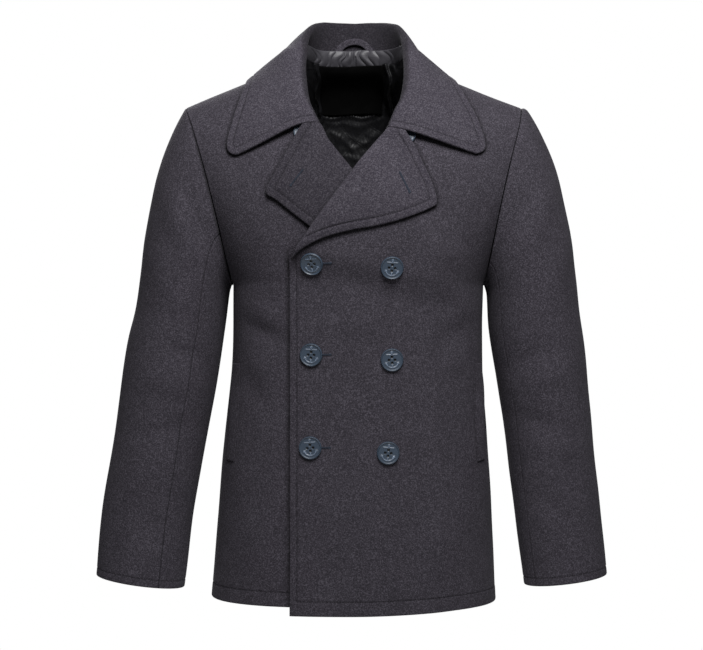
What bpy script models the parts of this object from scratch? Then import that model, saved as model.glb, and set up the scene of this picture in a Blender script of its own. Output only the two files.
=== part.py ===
"""Double-breasted pea coat in melton wool, filled out as if worn, with no wearer.

Metres, +Z up, the coat's front faces -Y and the wearer's left is at +X.
The origin is at the shoulders: x = 0 is the middle of the body, y = 0 the plane of the side
seams and shoulder seams, z = 0 the height of the outer shoulders.
Every cut piece is its own object: a thin wall laid on one shared body form.
"""
from collections import namedtuple
from math import pi

import bpy
import numpy as np
from mathutils import Matrix, Vector
from mathutils.bvhtree import BVHTree

# ---- cloth -----------------------------------------------------------------------------
WALL = 0.0026            # melton with its lining
DOUBLE = 0.0040          # two layers of melton: collar and lapels
SEAM = 0.0003            # gap between two pieces sewn together
EASE = 0.0014            # air between two layers that lie on each other
TRIM = 0.0012            # label, lining and neck band

# ---- body form below the underarm ------------------------------------------------------
Section = namedtuple("Section", "height half_width front back")
TORSO = [
    Section(-0.722, 0.2015, 0.134, 0.120),
    Section(-0.645, 0.1965, 0.133, 0.117),
    Section(-0.560, 0.1910, 0.131, 0.112),
    Section(-0.475, 0.1845, 0.129, 0.106),
    Section(-0.390, 0.1775, 0.130, 0.104),
    Section(-0.320, 0.1760, 0.133, 0.110),
    Section(-0.270, 0.1765, 0.135, 0.118),
]
ROUNDNESS = 2.5          # exponent of the oval sections
SWAY_Z = [-0.722, -0.560, -0.270, -0.050, 0.0, 0.030, 0.090]    # the coat hangs a little askew: its
SWAY_X = [-0.0020, 0.0, 0.0045, 0.0008, -0.0040, -0.0065, -0.0050]    # middle is at x at each height

# ---- shoulders and armholes ------------------------------------------------------------
UNDERARM = -0.270        # height of the armhole's lowest point
NECK_X = 0.085           # shoulder seam's inner end
NECK_Z = 0.0390
SHOULDER_X = 0.237       # shoulder seam's outer end
SLOPE = 0.41             # fall of the shoulder line
RIDGE_SOFT = 0.050       # rounding of the shoulder line at the middle of the back
ARMHOLE_FRONT = 0.084    # half depth of the armhole, forwards and backwards
ARMHOLE_BACK = 0.090
ARMHOLE_HOLLOW = 0.004
CHEST_FULL, CHEST_TOP = 0.010, 0.833     # fullness, and the level where it ends
BLADE_FULL, BLADE_LOW = 0.022, 0.8       # fullness, and how low it sits
FRONT_CURVE, BACK_CURVE = 2.6, 4         # the larger, the later the body turns to the shoulder
NAPE_RISE = 0.040        # the back neck stands above the shoulder line
NAPE_HALF = 0.088        # half width of the raised part
NAPE_RAMP = 0.050
NAPE_Y = 0.058           # the back neckline's middle lies this far behind the shoulder seam

# ---- front edges -----------------------------------------------------------------------
OVERLAP = 0.088          # front edge past the middle
BREAK_LEVEL = 0.139      # where the lapel starts to turn, as a share of the armhole's height
ROLL_LEVEL = 0.155       # first level where a front ends behind its lapel's roll
GORGE_LEVEL = 0.647      # where the collar meets the lapel
GORGE_ABOVE, GORGE_BELOW = 0.013, 0.005    # the collar ends above it and the lapel below it
GORGE_X = {1: 0.0405, -1: 0.0459}    # roll line at the gorge, left and right
PANEL_BACK = 0.006       # a front ends this far short of its lapel's roll
HEM_LEFT, HEM_RIGHT, HEM_BACK = -0.7165, -0.7060, -0.7110
HEM_RISE, HEM_RISE_X = 0.0060, 0.200     # the left front's hem is higher at the side

RAMP_END, RAMP = 0.055, 0.045            # past the right front's edge the left one comes down
LAPEL_RAMP_END, LAPEL_RAMP = 0.080, 0.065
LAPEL_RISE_END, LAPEL_RISE = 0.070, 0.045    # and it rises this far below the right lapel
UNDER_LAPEL_X, UNDER_LAPEL_Z, UNDER_LAPEL_SLOPE = -0.0606, -0.195, -0.266

# ---- rows and columns of the panels ----------------------------------------------------
HEM_BAND = 0.020
BODY_ROWS = 9            # rows from the hem band to the underarm
ARM_LEVELS = [0.05, BREAK_LEVEL, ROLL_LEVEL, 0.26, 0.38, 0.51, GORGE_LEVEL, 0.72, 0.81, 0.89, 0.95,
              0.985, 1.0]
SHARED = [-0.088, -0.055, -0.018, 0.018, 0.055, 0.088]   # columns that both fronts share
SIDE_SHARES = [0.62, 0.74, 0.83, 0.90, 0.948, 0.982, 1.0]
BACK_SHARES = [0, 0.09, 0.18, 0.27, NECK_X / SHOULDER_X, 0.48, 0.60, 0.72, 0.82, 0.91, 0.97, 1.0]

# ---- pockets ---------------------------------------------------------------------------
WELT_ROWS = (4, 8)       # rows and columns of the front that the welt covers
WELT_COLUMNS = (9, 11)
WELT_WALL = 0.0024
WELT_GAPE = 0.0045       # the welt's back edge stands off this far

# ---- sleeves ---------------------------------------------------------------------------
Ring = namedtuple("Ring", "inner_x inner_z outer_x outer_z front back middle_y")
LEFT_SLEEVE = [
    Ring(0.1838, -0.2712, 0.2420, -0.0210, 0.085, 0.091, 0.000),
    Ring(0.1842, -0.2722, 0.2530, -0.0370, 0.086, 0.092, 0.000),
    Ring(0.1846, -0.2733, 0.2710, -0.0720, 0.087, 0.092, 0.001),
    Ring(0.1850, -0.2745, 0.2870, -0.1150, 0.087, 0.091, 0.001),
    Ring(0.1855, -0.2760, 0.2975, -0.1610, 0.086, 0.090, 0.001),
    Ring(0.1862, -0.2785, 0.3060, -0.2060, 0.085, 0.088, 0.001),
    Ring(0.1872, -0.2850, 0.3120, -0.2520, 0.083, 0.085, 0.000),
    Ring(0.1896, -0.3270, 0.3181, -0.3057, 0.079, 0.080, -0.001),
    Ring(0.1950, -0.3660, 0.3240, -0.3500, 0.076, 0.077, -0.003),
    Ring(0.2080, -0.4505, 0.3309, -0.4335, 0.069, 0.070, -0.006),
    Ring(0.2180, -0.5343, 0.3380, -0.5187, 0.062, 0.063, -0.013),
    Ring(0.2258, -0.5982, 0.3451, -0.5826, 0.058, 0.058, -0.019),
    Ring(0.2370, -0.6905, 0.3533, -0.6750, 0.053, 0.053, -0.028),
]
RIGHT_SLEEVE = [
    Ring(0.1755, -0.2712, 0.2405, -0.0210, 0.085, 0.091, 0.000),
    Ring(0.1758, -0.2722, 0.2510, -0.0390, 0.086, 0.092, 0.000),
    Ring(0.1761, -0.2733, 0.2660, -0.0720, 0.087, 0.092, 0.001),
    Ring(0.1765, -0.2745, 0.2800, -0.1150, 0.087, 0.091, 0.001),
    Ring(0.1770, -0.2760, 0.2900, -0.1610, 0.086, 0.090, 0.001),
    Ring(0.1777, -0.2790, 0.2980, -0.2060, 0.085, 0.088, 0.001),
    Ring(0.1790, -0.2880, 0.3040, -0.2520, 0.083, 0.085, 0.000),
    Ring(0.1839, -0.3310, 0.3110, -0.3057, 0.079, 0.080, -0.001),
    Ring(0.1890, -0.3710, 0.3210, -0.3480, 0.076, 0.077, -0.003),
    Ring(0.2045, -0.4560, 0.3337, -0.4335, 0.069, 0.070, -0.006),
    Ring(0.2194, -0.5430, 0.3451, -0.5187, 0.063, 0.063, -0.013),
    Ring(0.2293, -0.6067, 0.3550, -0.5826, 0.058, 0.058, -0.019),
    Ring(0.2395, -0.6940, 0.3630, -0.6765, 0.054, 0.054, -0.028),
]
FRONT_SEAM, BACK_SEAM = 0.288 * pi, 0.333 * pi    # angle of each sleeve seam from the inner side
TOP_ARC, UNDER_ARC = 17, 8                        # columns of the two sleeve pieces
ARMHOLE_GAP = 0.0005

# ---- collar ----------------------------------------------------------------------------
FOLD_RADIUS = 0.0045     # of the cloth's middle at the roll
COLLAR_GAP = 0.0040
COLLAR_EASE = 0.0026     # air under the fall's edge, more of it where the shoulder bends
SHOULDER_EASE = 0.0024
COLLAR_SLACK = 0.004     # the fall stands off the body by this much more in its middle
NOTCH_BOW = 0.0085       # the collar's end passes just above the lapel's
COLLAR_LEVELS = [0.985, 0.95, 0.89, 0.81, 0.72, GORGE_LEVEL + GORGE_ABOVE]
Roll = namedtuple("Roll", "place x y z")          # the fold, from the nape to the gorge
ROLL = [
    Roll(0.00, 0.0000, 0.078, 0.1125),
    Roll(0.13, 0.0350, 0.070, 0.1125),
    Roll(0.25, 0.0560, 0.047, 0.1090),
    Roll(0.36, 0.0675, 0.016, 0.0930),
    Roll(0.46, 0.0700, -0.014, 0.0680),
    Roll(0.56, 0.0705, -0.043, 0.0440),
    Roll(0.67, 0.0700, -0.072, 0.0170),
    Roll(0.78, 0.0655, -0.096, -0.0140),
    Roll(0.89, 0.0555, -0.113, -0.0400),
    Roll(1.00, 0.0405, -0.1215, -0.0595),
]
Edge = namedtuple("Edge", "place x q")            # the fall's outer edge, on the body form
EDGE = [
    Edge(0.00, 0.000, -0.483),
    Edge(0.13, 0.045, -0.422),
    Edge(0.25, 0.092, -0.321),
    Edge(0.36, 0.130, -0.203),
    Edge(0.46, 0.149, -0.080),
    Edge(0.56, 0.156, 0.130),
    Edge(0.67, 0.161, 0.290),
    Edge(0.78, 0.167, 0.421),
    Edge(0.90, 0.1755, 0.557),
    Edge(1.00, 0.170, 0.609),
]
STAND_POINTS, FOLD_POINTS, FALL_POINTS = 2, 3, 6
FOLD_GUESS_Q = 0.3

# ---- lapels ----------------------------------------------------------------------------
BREAK_X = 0.085          # roll line's lower end
LAPEL_GAP = 0.0005
LAPEL_SLACK = 0.0008
NECK_LEVEL, NECK_LEVEL_X = 0.81, 0.0735           # a point of the front neckline
Lapel = namedtuple("Lapel", "edge_x edge_z over")  # outer edge as seen from the front
LEFT_LAPEL = [
    Lapel(-0.0790, -0.2300, EASE),
    Lapel(-0.0700, -0.2225, EASE),
    Lapel(-0.0420, -0.2105, EASE),
    Lapel(-0.0060, -0.2008, EASE),
    Lapel(0.0300, -0.1945, EASE),
    Lapel(0.0650, -0.1850, 0.0018),
    Lapel(0.1016, -0.1699, 0.0024),
    Lapel(0.1095, -0.1600, 0.0024),
    Lapel(0.1020, -0.1330, 0.0028),
    Lapel(0.0930, -0.1050, 0.0040),
    Lapel(0.0830, -0.0820, 0.0052),
    Lapel(0.0700, -0.0635, 0.0058),
]
RIGHT_LAPEL = [
    Lapel(-0.0790, -0.2320, EASE),
    Lapel(-0.0560, -0.2330, EASE),
    Lapel(-0.0200, -0.2300, EASE),
    Lapel(0.0150, -0.2220, EASE),
    Lapel(0.0450, -0.2070, EASE),
    Lapel(0.0700, -0.1880, EASE),
    Lapel(0.1050, -0.1600, 0.0018),
    Lapel(0.1200, -0.1480, 0.0024),
    Lapel(0.1080, -0.1220, 0.0030),
    Lapel(0.0950, -0.0980, 0.0038),
    Lapel(0.0820, -0.0770, 0.0048),
    Lapel(0.0680, -0.0610, 0.0054),
]
Fold = namedtuple("Fold", "low grow start")         # radius at the break, its growth and where
LEFT_FOLD, RIGHT_FOLD = Fold(0.0026, 0.0020, 0.0), Fold(0.0024, 0.0020, 0.68)
FOLD_SPREAD = 0.3

# ---- neck ------------------------------------------------------------------------------
LINING_DEPTH = WALL + 0.0038
BAND_HALF, BAND_TOP, BAND_LOW = 0.066, 0.0040, 0.0190
GATHERS, GATHER_DEPTH = 15, 0.0010
LINING_COLUMNS, LINING_ROWS = 17, 17
LINING_TOP_HALF, LINING_LOW_HALF = 0.072, 0.160
LINING_DROP, LINING_LEVEL = 0.0194, 0.08
QUILT, QUILT_PUFF = 0.050, 0.0016
LABEL_HALF, LABEL_TOP, LABEL_LOW, LABEL_WALL = 0.0465, 0.0505, -0.0165, 0.0010
LOOP_HALF, LOOP_HIGH, LOOP_WIDE, LOOP_WALL, LOOP_STEPS = 0.0290, 0.0215, 0.0070, 0.0022, 13
LOOP_X, LOOP_Z, LOOP_OFF = 0.0060, 0.0720, 0.0056    # off the neckline's oval

# ---- buttons ---------------------------------------------------------------------------
BUTTON_R = 0.0155
BUTTON_T = 0.0036
BUTTON_SIDES = 16
HOLE_R, HOLE_RING, HOLE_SIDES = 0.0012, 0.0032, 6
SEAT_RINGS = 3
Button = namedtuple("Button", "name panel x z")
BUTTONS = [
    Button("button_overlap_upper", "front_left", -0.0580, -0.2450),
    Button("button_overlap_middle", "front_left", -0.0590, -0.3672),
    Button("button_overlap_lower", "front_left", -0.0603, -0.4922),
    Button("button_left_upper", "front_left", 0.0490, -0.2508),
    Button("button_left_middle", "front_left", 0.0492, -0.3740),
    Button("button_left_lower", "front_left", 0.0441, -0.4990),
    Button("button_neck_right", "front_right", -0.0685, -0.0640),
    Button("button_neck_left", "front_left", 0.0640, -0.0675),
]


def table(rows, at, column, key=0):
    """Smooth curve through one column of a table, read at the given keys."""
    keys = np.array([row[key] for row in rows])
    values = np.array([getattr(row, column) for row in rows])
    slopes = np.gradient(values, keys)
    at = np.clip(at, keys[0], keys[-1])
    i = np.clip(np.searchsorted(keys, at) - 1, 0, len(keys) - 2)
    span = keys[i + 1] - keys[i]
    t = (at - keys[i]) / span
    return ((2 * t**3 - 3 * t**2 + 1) * values[i] + (t**3 - 2 * t**2 + t) * span * slopes[i]
            + (3 * t**2 - 2 * t**3) * values[i + 1] + (t**3 - t**2) * span * slopes[i + 1])


def smooth(t):
    t = np.clip(t, 0, 1)
    return t * t * (3 - 2 * t)


def ridge(x, nape=0.0):
    """Height of the shoulder line over x; the back's stands higher at the nape."""
    top = NECK_Z + SLOPE * (np.hypot(NECK_X, RIDGE_SOFT) - RIDGE_SOFT)
    line = top - SLOPE * (np.hypot(x, RIDGE_SOFT) - RIDGE_SOFT)
    return line + nape * smooth((NAPE_HALF - np.abs(x)) / NAPE_RAMP)


def oval(level, side):
    """Sizes of the body's oval at a level: half width to the armhole, full half width, depth.

    A level below 0 is in metres under the underarm, and one from 0 to 1 is a share of the way
    from the underarm to the shoulder line. side is -1 for the front and +1 for the back.
    """
    low = np.minimum(level, 0) + UNDERARM
    share = np.clip(level, 0, 1)
    half = table(TORSO, low, "half_width")
    edge = half + (SHOULDER_X - half) * share - ARMHOLE_HOLLOW * np.sin(pi * share)
    if side < 0:
        depth = table(TORSO, low, "front") + CHEST_FULL * np.sin(pi * np.minimum(share / CHEST_TOP, 1))
        depth = depth * np.sqrt(1 - share**FRONT_CURVE)
        reach = ARMHOLE_FRONT
    else:
        depth = table(TORSO, low, "back") + BLADE_FULL * np.sin(pi * share**BLADE_LOW)
        depth = depth * np.sqrt(1 - share**BACK_CURVE)
        reach = ARMHOLE_BACK
    ratio = np.clip(2 * reach * np.sqrt(share * (1 - share)) / np.maximum(depth, 1e-6), 0, 0.98)
    full = edge / (1 - ratio**ROUNDNESS)**(1 / ROUNDNESS)
    return edge, full, depth


def body(x, level, side):
    """Point of the body form over x at a level, on the front or the back."""
    edge, full, depth = oval(level, side)
    x = np.clip(x, -edge, edge)
    y = side * depth * np.maximum(1 - (np.abs(x) / full)**ROUNDNESS, 0)**(1 / ROUNDNESS)
    top = ridge(x, NAPE_RISE if side > 0 else 0.0)
    share = np.clip(level, 0, 1)
    z = UNDERARM + np.minimum(level, 0) + (top - UNDERARM) * share
    return np.stack([x, y, z], -1)


def sway(z):
    return np.interp(z, SWAY_Z, SWAY_X)


def placed(points, side):
    """Points of the left half brought to a side of the body, and moved along with its sway."""
    points = points * np.array([side, 1, 1])
    points[..., 0] += sway(points[..., 2])
    return points


def level_of(x, z, side):
    """Level at which the body form stands z high over x."""
    top = ridge(x, NAPE_RISE if side > 0 else 0.0)
    return np.where(z < UNDERARM, z - UNDERARM, (z - UNDERARM) / (top - UNDERARM))


def normals(points, outward):
    """Unit normals of a grid of points, on the side that outward gives for its middle."""
    across = np.gradient(points, axis=0)
    along = np.gradient(points, axis=1)
    n = np.cross(across, along)
    n /= np.maximum(np.linalg.norm(n, axis=-1, keepdims=True), 1e-12)
    middle = n[n.shape[0] // 2, n.shape[1] // 2]
    return n if middle @ np.asarray(outward, float) > 0 else -n


def without(n, axis):
    """Normals turned so that they have no part along an axis, as at a seam in that plane."""
    n = n.copy()
    n[..., axis] = 0
    return n / np.maximum(np.linalg.norm(n, axis=-1, keepdims=True), 1e-12)


def material(name, colour, roughness, metallic=0.0):
    m = bpy.data.materials.get(name) or bpy.data.materials.new(name)
    m.use_nodes = True
    shader = m.node_tree.nodes["Principled BSDF"]
    shader.inputs["Base Color"].default_value = (*colour, 1)
    shader.inputs["Roughness"].default_value = roughness
    shader.inputs["Metallic"].default_value = metallic
    return m


MELTON = ("melton", (0.048, 0.043, 0.052), 0.95)
LINING = ("lining", (0.008, 0.008, 0.009), 0.45)
BAND = ("neck_band", (0.020, 0.020, 0.022), 0.35)
LABEL = ("label", (0.002, 0.002, 0.002), 0.6)
PLASTIC = ("button", (0.045, 0.060, 0.080), 0.35)


def new_object(name, vertices, faces, look):
    mesh = bpy.data.meshes.new(name)
    mesh.from_pydata([tuple(v) for v in vertices], [], faces)
    mesh.update()
    mesh.shade_smooth()
    mesh.set_sharp_from_angle(angle=0.7)
    thing = bpy.data.objects.new(name, mesh)
    bpy.context.scene.collection.objects.link(thing)
    mesh.materials.append(material(*look))
    return thing


def wall(name, outer, inner, look):
    """Closed wall between two grids of points, the outer one and the inner one."""
    rows, columns = outer.shape[:2]
    vertices = np.concatenate([outer.reshape(-1, 3), inner.reshape(-1, 3)])
    base = rows * columns

    def at(i, j, layer):
        return layer * base + i * columns + j

    faces = []
    for i in range(rows - 1):
        for j in range(columns - 1):
            faces.append([at(i, j, 0), at(i + 1, j, 0), at(i + 1, j + 1, 0), at(i, j + 1, 0)])
            faces.append([at(i, j, 1), at(i, j + 1, 1), at(i + 1, j + 1, 1), at(i + 1, j, 1)])
    for i in range(rows - 1):
        for j, turn in ((0, 1), (columns - 1, -1)):
            rim = [at(i, j, 0), at(i, j, 1), at(i + 1, j, 1), at(i + 1, j, 0)]
            faces.append(rim[::turn])
    for j in range(columns - 1):
        for i, turn in ((0, -1), (rows - 1, 1)):
            rim = [at(i, j, 0), at(i, j, 1), at(i, j + 1, 1), at(i, j + 1, 0)]
            faces.append(rim[::turn])
    middle = ((rows - 1) // 2, (columns - 1) // 2)
    across = outer[middle[0] + 1, middle[1]] - outer[middle]
    along = outer[middle[0], middle[1] + 1] - outer[middle]
    if np.cross(across, along) @ (outer[middle] - inner[middle]) < 0:
        faces = [face[::-1] for face in faces]
    return new_object(name, vertices, faces, look)


def body_wall(name, side, outer, inner, look):
    return wall(name, placed(outer, side), placed(inner, side), look)


# ---- seams of the body form ------------------------------------------------------------
def height_at(x, level):
    """Height of a level of the front over x."""
    return UNDERARM + np.minimum(level, 0) + (ridge(x) - UNDERARM) * np.clip(level, 0, 1)


def form(x, q):
    """Point of the body form; q runs over the shoulder, + on the front and - on the back."""
    level = 1 - q**2
    front, back = body(x, level, -1), body(x, level, 1)
    return np.where((q >= 0)[..., None], front, back)


def form_normal(x, q, step=1e-4):
    """Outward normal of the body form, with its steps along x and q."""
    across = (form(x + step, q) - form(x - step, q)) / (2 * step)
    over = (form(x, q + step) - form(x, q - step)) / (2 * step)
    n = np.cross(across, over)
    n /= np.linalg.norm(n, axis=-1, keepdims=True)
    middle = np.array([0, 0, UNDERARM])
    n *= np.sign(np.sum((form(x, q) - middle) * n, axis=-1, keepdims=True))
    return n, across, over


def to_form(points, x, q):
    """Place of points over the body form as x, q and distance, from a first guess."""
    for _ in range(12):
        n, across, over = form_normal(x, q)
        gap = points - form(x, q)
        away = np.sum(gap * n, axis=-1)
        side = gap - n * away[..., None]
        grid = np.stack([across, over], -1)
        move = np.linalg.lstsq(grid[0], side[0], rcond=None)[0] if len(side) == 1 else np.array(
            [np.linalg.lstsq(g, s, rcond=None)[0] for g, s in zip(grid, side)])
        x, q = x + 0.8 * np.atleast_2d(move)[:, 0], q + 0.8 * np.atleast_2d(move)[:, 1]
    return x, q, away


def break_height():
    return height_at(OVERLAP, BREAK_LEVEL)


def roll_x(z, side):
    """Roll line of a lapel as seen from the front, with x counted towards its own side."""
    gorge_z = height_at(GORGE_X[side], GORGE_LEVEL)
    share = (z - break_height()) / (gorge_z - break_height())
    return -BREAK_X + (GORGE_X[side] + BREAK_X) * share


def inner_edge(level, side):
    """Where a front ends towards the opening: front edge, roll line, then neckline."""
    start = roll_x(height_at(BREAK_X, ROLL_LEVEL), side) + PANEL_BACK
    levels = [-1.0, BREAK_LEVEL, ROLL_LEVEL, GORGE_LEVEL, NECK_LEVEL, 1.0]
    places = [-OVERLAP, -OVERLAP, start, GORGE_X[side] + PANEL_BACK, NECK_LEVEL_X, NECK_X]
    seen = np.interp(level, levels, places)
    return seen - side * sway(height_at(seen, level))


# ---- fronts ----------------------------------------------------------------------------
def overlap_lift(x, z):
    """How far the left front stands off the body form, over the right front and its lapel."""
    below = np.where(z < break_height(), OVERLAP, -roll_x(z, -1)) - sway(z)
    over_front = smooth((below + RAMP_END - x) / RAMP)
    lower = UNDER_LAPEL_Z + UNDER_LAPEL_SLOPE * (x - UNDER_LAPEL_X)
    over_lapel = smooth((below + LAPEL_RAMP_END - x) / LAPEL_RAMP)
    over_lapel = over_lapel * smooth((z - lower + LAPEL_RISE_END) / LAPEL_RISE)
    return (WALL + SEAM) * over_front + (DOUBLE + 3 * EASE) * over_lapel


def panel_levels(hem):
    low = hem - UNDERARM
    return np.concatenate([[low], np.linspace(low + HEM_BAND, 0, BODY_ROWS), ARM_LEVELS])


def front_form(hem, side):
    """Grid of a front on the body form, columns from the front edge to the side."""
    levels = panel_levels(hem)
    rows = []
    for level in levels:
        edge = oval(level, -1)[0]
        shared = np.array(SHARED)
        shared -= side * sway(height_at(shared, level))
        xs = np.concatenate([shared, edge * np.array(SIDE_SHARES)])
        start = inner_edge(level, side)
        rows.append(body(edge - (edge - xs) * (edge - start) / (edge - xs[0]), level, -1))
    grid = np.array(rows)
    if side > 0:
        grid[:2, :, 2] += HEM_RISE * smooth(grid[:2, :, 0] / HEM_RISE_X)
    return grid, levels


def front_panel(name, side):
    """Front panel: side 1 is the left front, which laps over, and -1 the right one."""
    grid, levels = front_form(HEM_LEFT if side > 0 else HEM_RIGHT, side)
    n = normals(grid, (0, -1, 0))
    under = levels <= 0
    n[under, -1] = without(n[under, -1], 1)
    n[-1] = without(n[-1], 1)
    outer = grid.copy()
    if side > 0:
        outer += n * overlap_lift(grid[..., 0], grid[..., 2])[..., None]
    outer[under, -1, 1] -= SEAM / 2
    outer[-1, :, 1] -= SEAM / 2
    return body_wall(name, side, outer, outer - n * WALL, MELTON)


def pocket_welt(name, side):
    """Welt of the slant pocket, laid on its front's own points; its back edge gapes."""
    grid, levels = front_form(HEM_LEFT if side > 0 else HEM_RIGHT, side)
    n = normals(grid, (0, -1, 0))
    rows, columns = slice(*WELT_ROWS), slice(*WELT_COLUMNS)
    lift = np.array([SEAM, WELT_GAPE])[None, :, None]
    inner = grid[rows, columns] + n[rows, columns] * lift
    return body_wall(name, side, inner + n[rows, columns] * WELT_WALL, inner, MELTON)


# ---- back ------------------------------------------------------------------------------
def neck_level(x):
    """Level of the back neckline over x: an oval as seen from above."""
    y = NAPE_Y * np.sqrt(np.maximum(1 - (x / NECK_X)**2, 0))
    return (1 - (y / TORSO[-1].back)**2)**0.25


def back_form(levels, shares):
    """Grid of the back's left half, columns from the middle seam to the side."""
    shares = np.array(shares)
    top = neck_level(np.minimum(shares * SHOULDER_X, NECK_X))
    rows = []
    for level in levels:
        edge = oval(level, 1)[0]
        own = np.where(level > 0, level * top, level)
        xs = np.array([share * oval(o, 1)[0] for share, o in zip(shares, own)])
        rows.append(np.array([body(x, o, 1) for x, o in zip(xs, own)]) if level > 0
                    else body(shares * edge, level, 1))
    return np.array(rows)


def back_panel(name, side):
    levels = panel_levels(HEM_BACK)
    grid = back_form(levels, BACK_SHARES)
    n = normals(grid, (0, 1, 0))
    under = levels <= 0
    shoulder = grid[-1, :, 1] < 1e-4
    n[under, -1] = without(n[under, -1], 1)
    n[-1, shoulder] = without(n[-1, shoulder], 1)
    n[:, 0] = without(n[:, 0], 0)
    outer = grid.copy()
    outer[under, -1, 1] += SEAM / 2
    outer[-1, shoulder, 1] += SEAM / 2
    outer[:, 0, 0] += SEAM / 2
    return body_wall(name, side, outer, outer - n * WALL, MELTON)


# ---- sleeves ---------------------------------------------------------------------------
def sleeve_ring(ring, turns, side):
    """Oval of one sleeve section; a turn of 0 is its inner point, and + goes to the front."""
    inner = np.array([side * ring.inner_x, 0, ring.inner_z])
    outer = np.array([side * ring.outer_x, 0, ring.outer_z])
    points = (inner + outer) / 2 + np.cos(turns)[:, None] * (inner - outer) / 2
    depth = np.where(np.sin(turns) > 0, ring.front, ring.back)
    points[:, 1] = ring.middle_y - np.sin(turns) * depth
    return points


def armhole(turns, side):
    """The armhole's edge on the body form, at the same turns as a sleeve's rings."""
    share = (1 - np.cos(turns)) / 2
    edge = oval(share, -1)[0]
    reach = np.where(np.sin(turns) > 0, ARMHOLE_FRONT, ARMHOLE_BACK)
    rim = np.stack([edge + ARMHOLE_GAP, -reach * np.sin(turns), height_at(edge, share)], -1)
    return placed(rim, side)


def around(grid):
    """Normals of a closed tube of rings, pointing out of it."""
    along = np.gradient(grid, axis=0)
    turn = np.roll(grid, -1, axis=1) - np.roll(grid, 1, axis=1)
    n = np.cross(along, turn)
    n /= np.linalg.norm(n, axis=-1, keepdims=True)
    out = grid - grid.mean(axis=1, keepdims=True)
    return n if np.sum(n * out) > 0 else -n


def sleeve(names, side, rings):
    """A two-piece sleeve: the outer piece, and the narrow one under the arm."""
    top = np.linspace(FRONT_SEAM, 2 * pi - BACK_SEAM, TOP_ARC)
    under = np.linspace(-BACK_SEAM, FRONT_SEAM, UNDER_ARC)
    turns = np.concatenate([top, under[1:-1]])
    grid = np.array([armhole(turns, side)] + [sleeve_ring(ring, turns, side) for ring in rings])
    n = around(grid)
    rim = grid[0]
    tangent = np.roll(rim, -1, axis=0) - np.roll(rim, 1, axis=0)
    plane = np.cross(rim[0] - rim.mean(axis=0), rim[len(rim) // 4] - rim.mean(axis=0))
    n[0] = np.cross(tangent, plane)
    n[0] /= np.linalg.norm(n[0], axis=-1, keepdims=True)
    n[0] *= np.sign(np.sum(n[0] * (rim - rim.mean(axis=0)), axis=-1, keepdims=True))
    whole = np.arange(len(turns))
    for name, columns in ((names[0], whole[:TOP_ARC]),
                          (names[1], np.concatenate([whole[TOP_ARC - 1:], whole[:1]]))):
        outer, out = grid[:, columns].copy(), n[:, columns]
        for edge, inward in ((0, 1), (-1, -2)):
            step = outer[:, inward] - outer[:, edge]
            outer[:, edge] += step / np.linalg.norm(step, axis=-1, keepdims=True) * SEAM * 0.75
        wall(name, outer, outer - out * WALL, MELTON)


# ---- collar and lapels -----------------------------------------------------------------
def unit(v):
    return v / np.linalg.norm(v, axis=-1, keepdims=True)


def folded(foot, roll, out, edge, radius, slack, lift=None):
    """Middle surface of a turned collar or lapel: stand, rounded fold, then fall.

    foot, roll and edge are rows of points: where the stand starts, the fold's highest line and
    the fall's outer edge. The fall keeps above the body form: its distance from it runs evenly
    from the fold's to the edge's, plus slack in the middle and lift where it lies on a panel.
    """
    radius = np.asarray(radius)[:, None]
    up = unit(roll - out * radius - foot)
    out = unit(out - up * np.sum(out * up, axis=-1, keepdims=True))
    start = roll - (out + up) * radius
    first = roll + (out - up) * radius
    guess = np.where(first[:, 1] < 0, 1, -1)
    x0, q0, h0 = to_form(first, np.abs(first[:, 0]), guess * FOLD_GUESS_Q)
    x1, q1, h1 = to_form(edge, np.abs(edge[:, 0]), np.where(edge[:, 1] < 0, 1, -1) * FOLD_GUESS_Q)
    on_panel = (lambda x, q: 0 * x) if lift is None else (lambda x, q: lift(x, form(x, q)[..., 2]))
    h0, h1 = h0 - on_panel(x0, q0), h1 - on_panel(x1, q1)
    t = np.linspace(0, 1, FALL_POINTS)[None, :]
    x = x0[:, None] * (1 - t) + x1[:, None] * t
    q = q0[:, None] * (1 - t) + q1[:, None] * t
    h = h0[:, None] * (1 - t) + h1[:, None] * t + slack[:, None] * np.sin(pi * t) + on_panel(x, q)
    fall = form(x, q) + form_normal(x, q)[0] * h[..., None]
    s = np.linspace(0, 1, STAND_POINTS)[None, :, None]
    stand = foot[:, None] * (1 - s) + start[:, None] * s
    down = unit(fall[:, 1] - fall[:, 0])
    handle = 1.33 * radius
    b0, b1, b2, b3 = (p[:, None] for p in (start, start + up * handle,
                                           fall[:, 0] - down * handle, fall[:, 0]))
    s = np.linspace(0, 1, FOLD_POINTS + 2)[None, 1:-1, None]
    bend = b0 * (1 - s)**3 + 3 * b1 * s * (1 - s)**2 + 3 * b2 * s**2 * (1 - s) + b3 * s**3
    return np.concatenate([stand, bend, fall], axis=1)


def thick(name, middle, thickness, look):
    n = normals(middle, (0, 1, 0))
    return wall(name, middle + n * thickness / 2, middle - n * thickness / 2, look)


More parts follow.
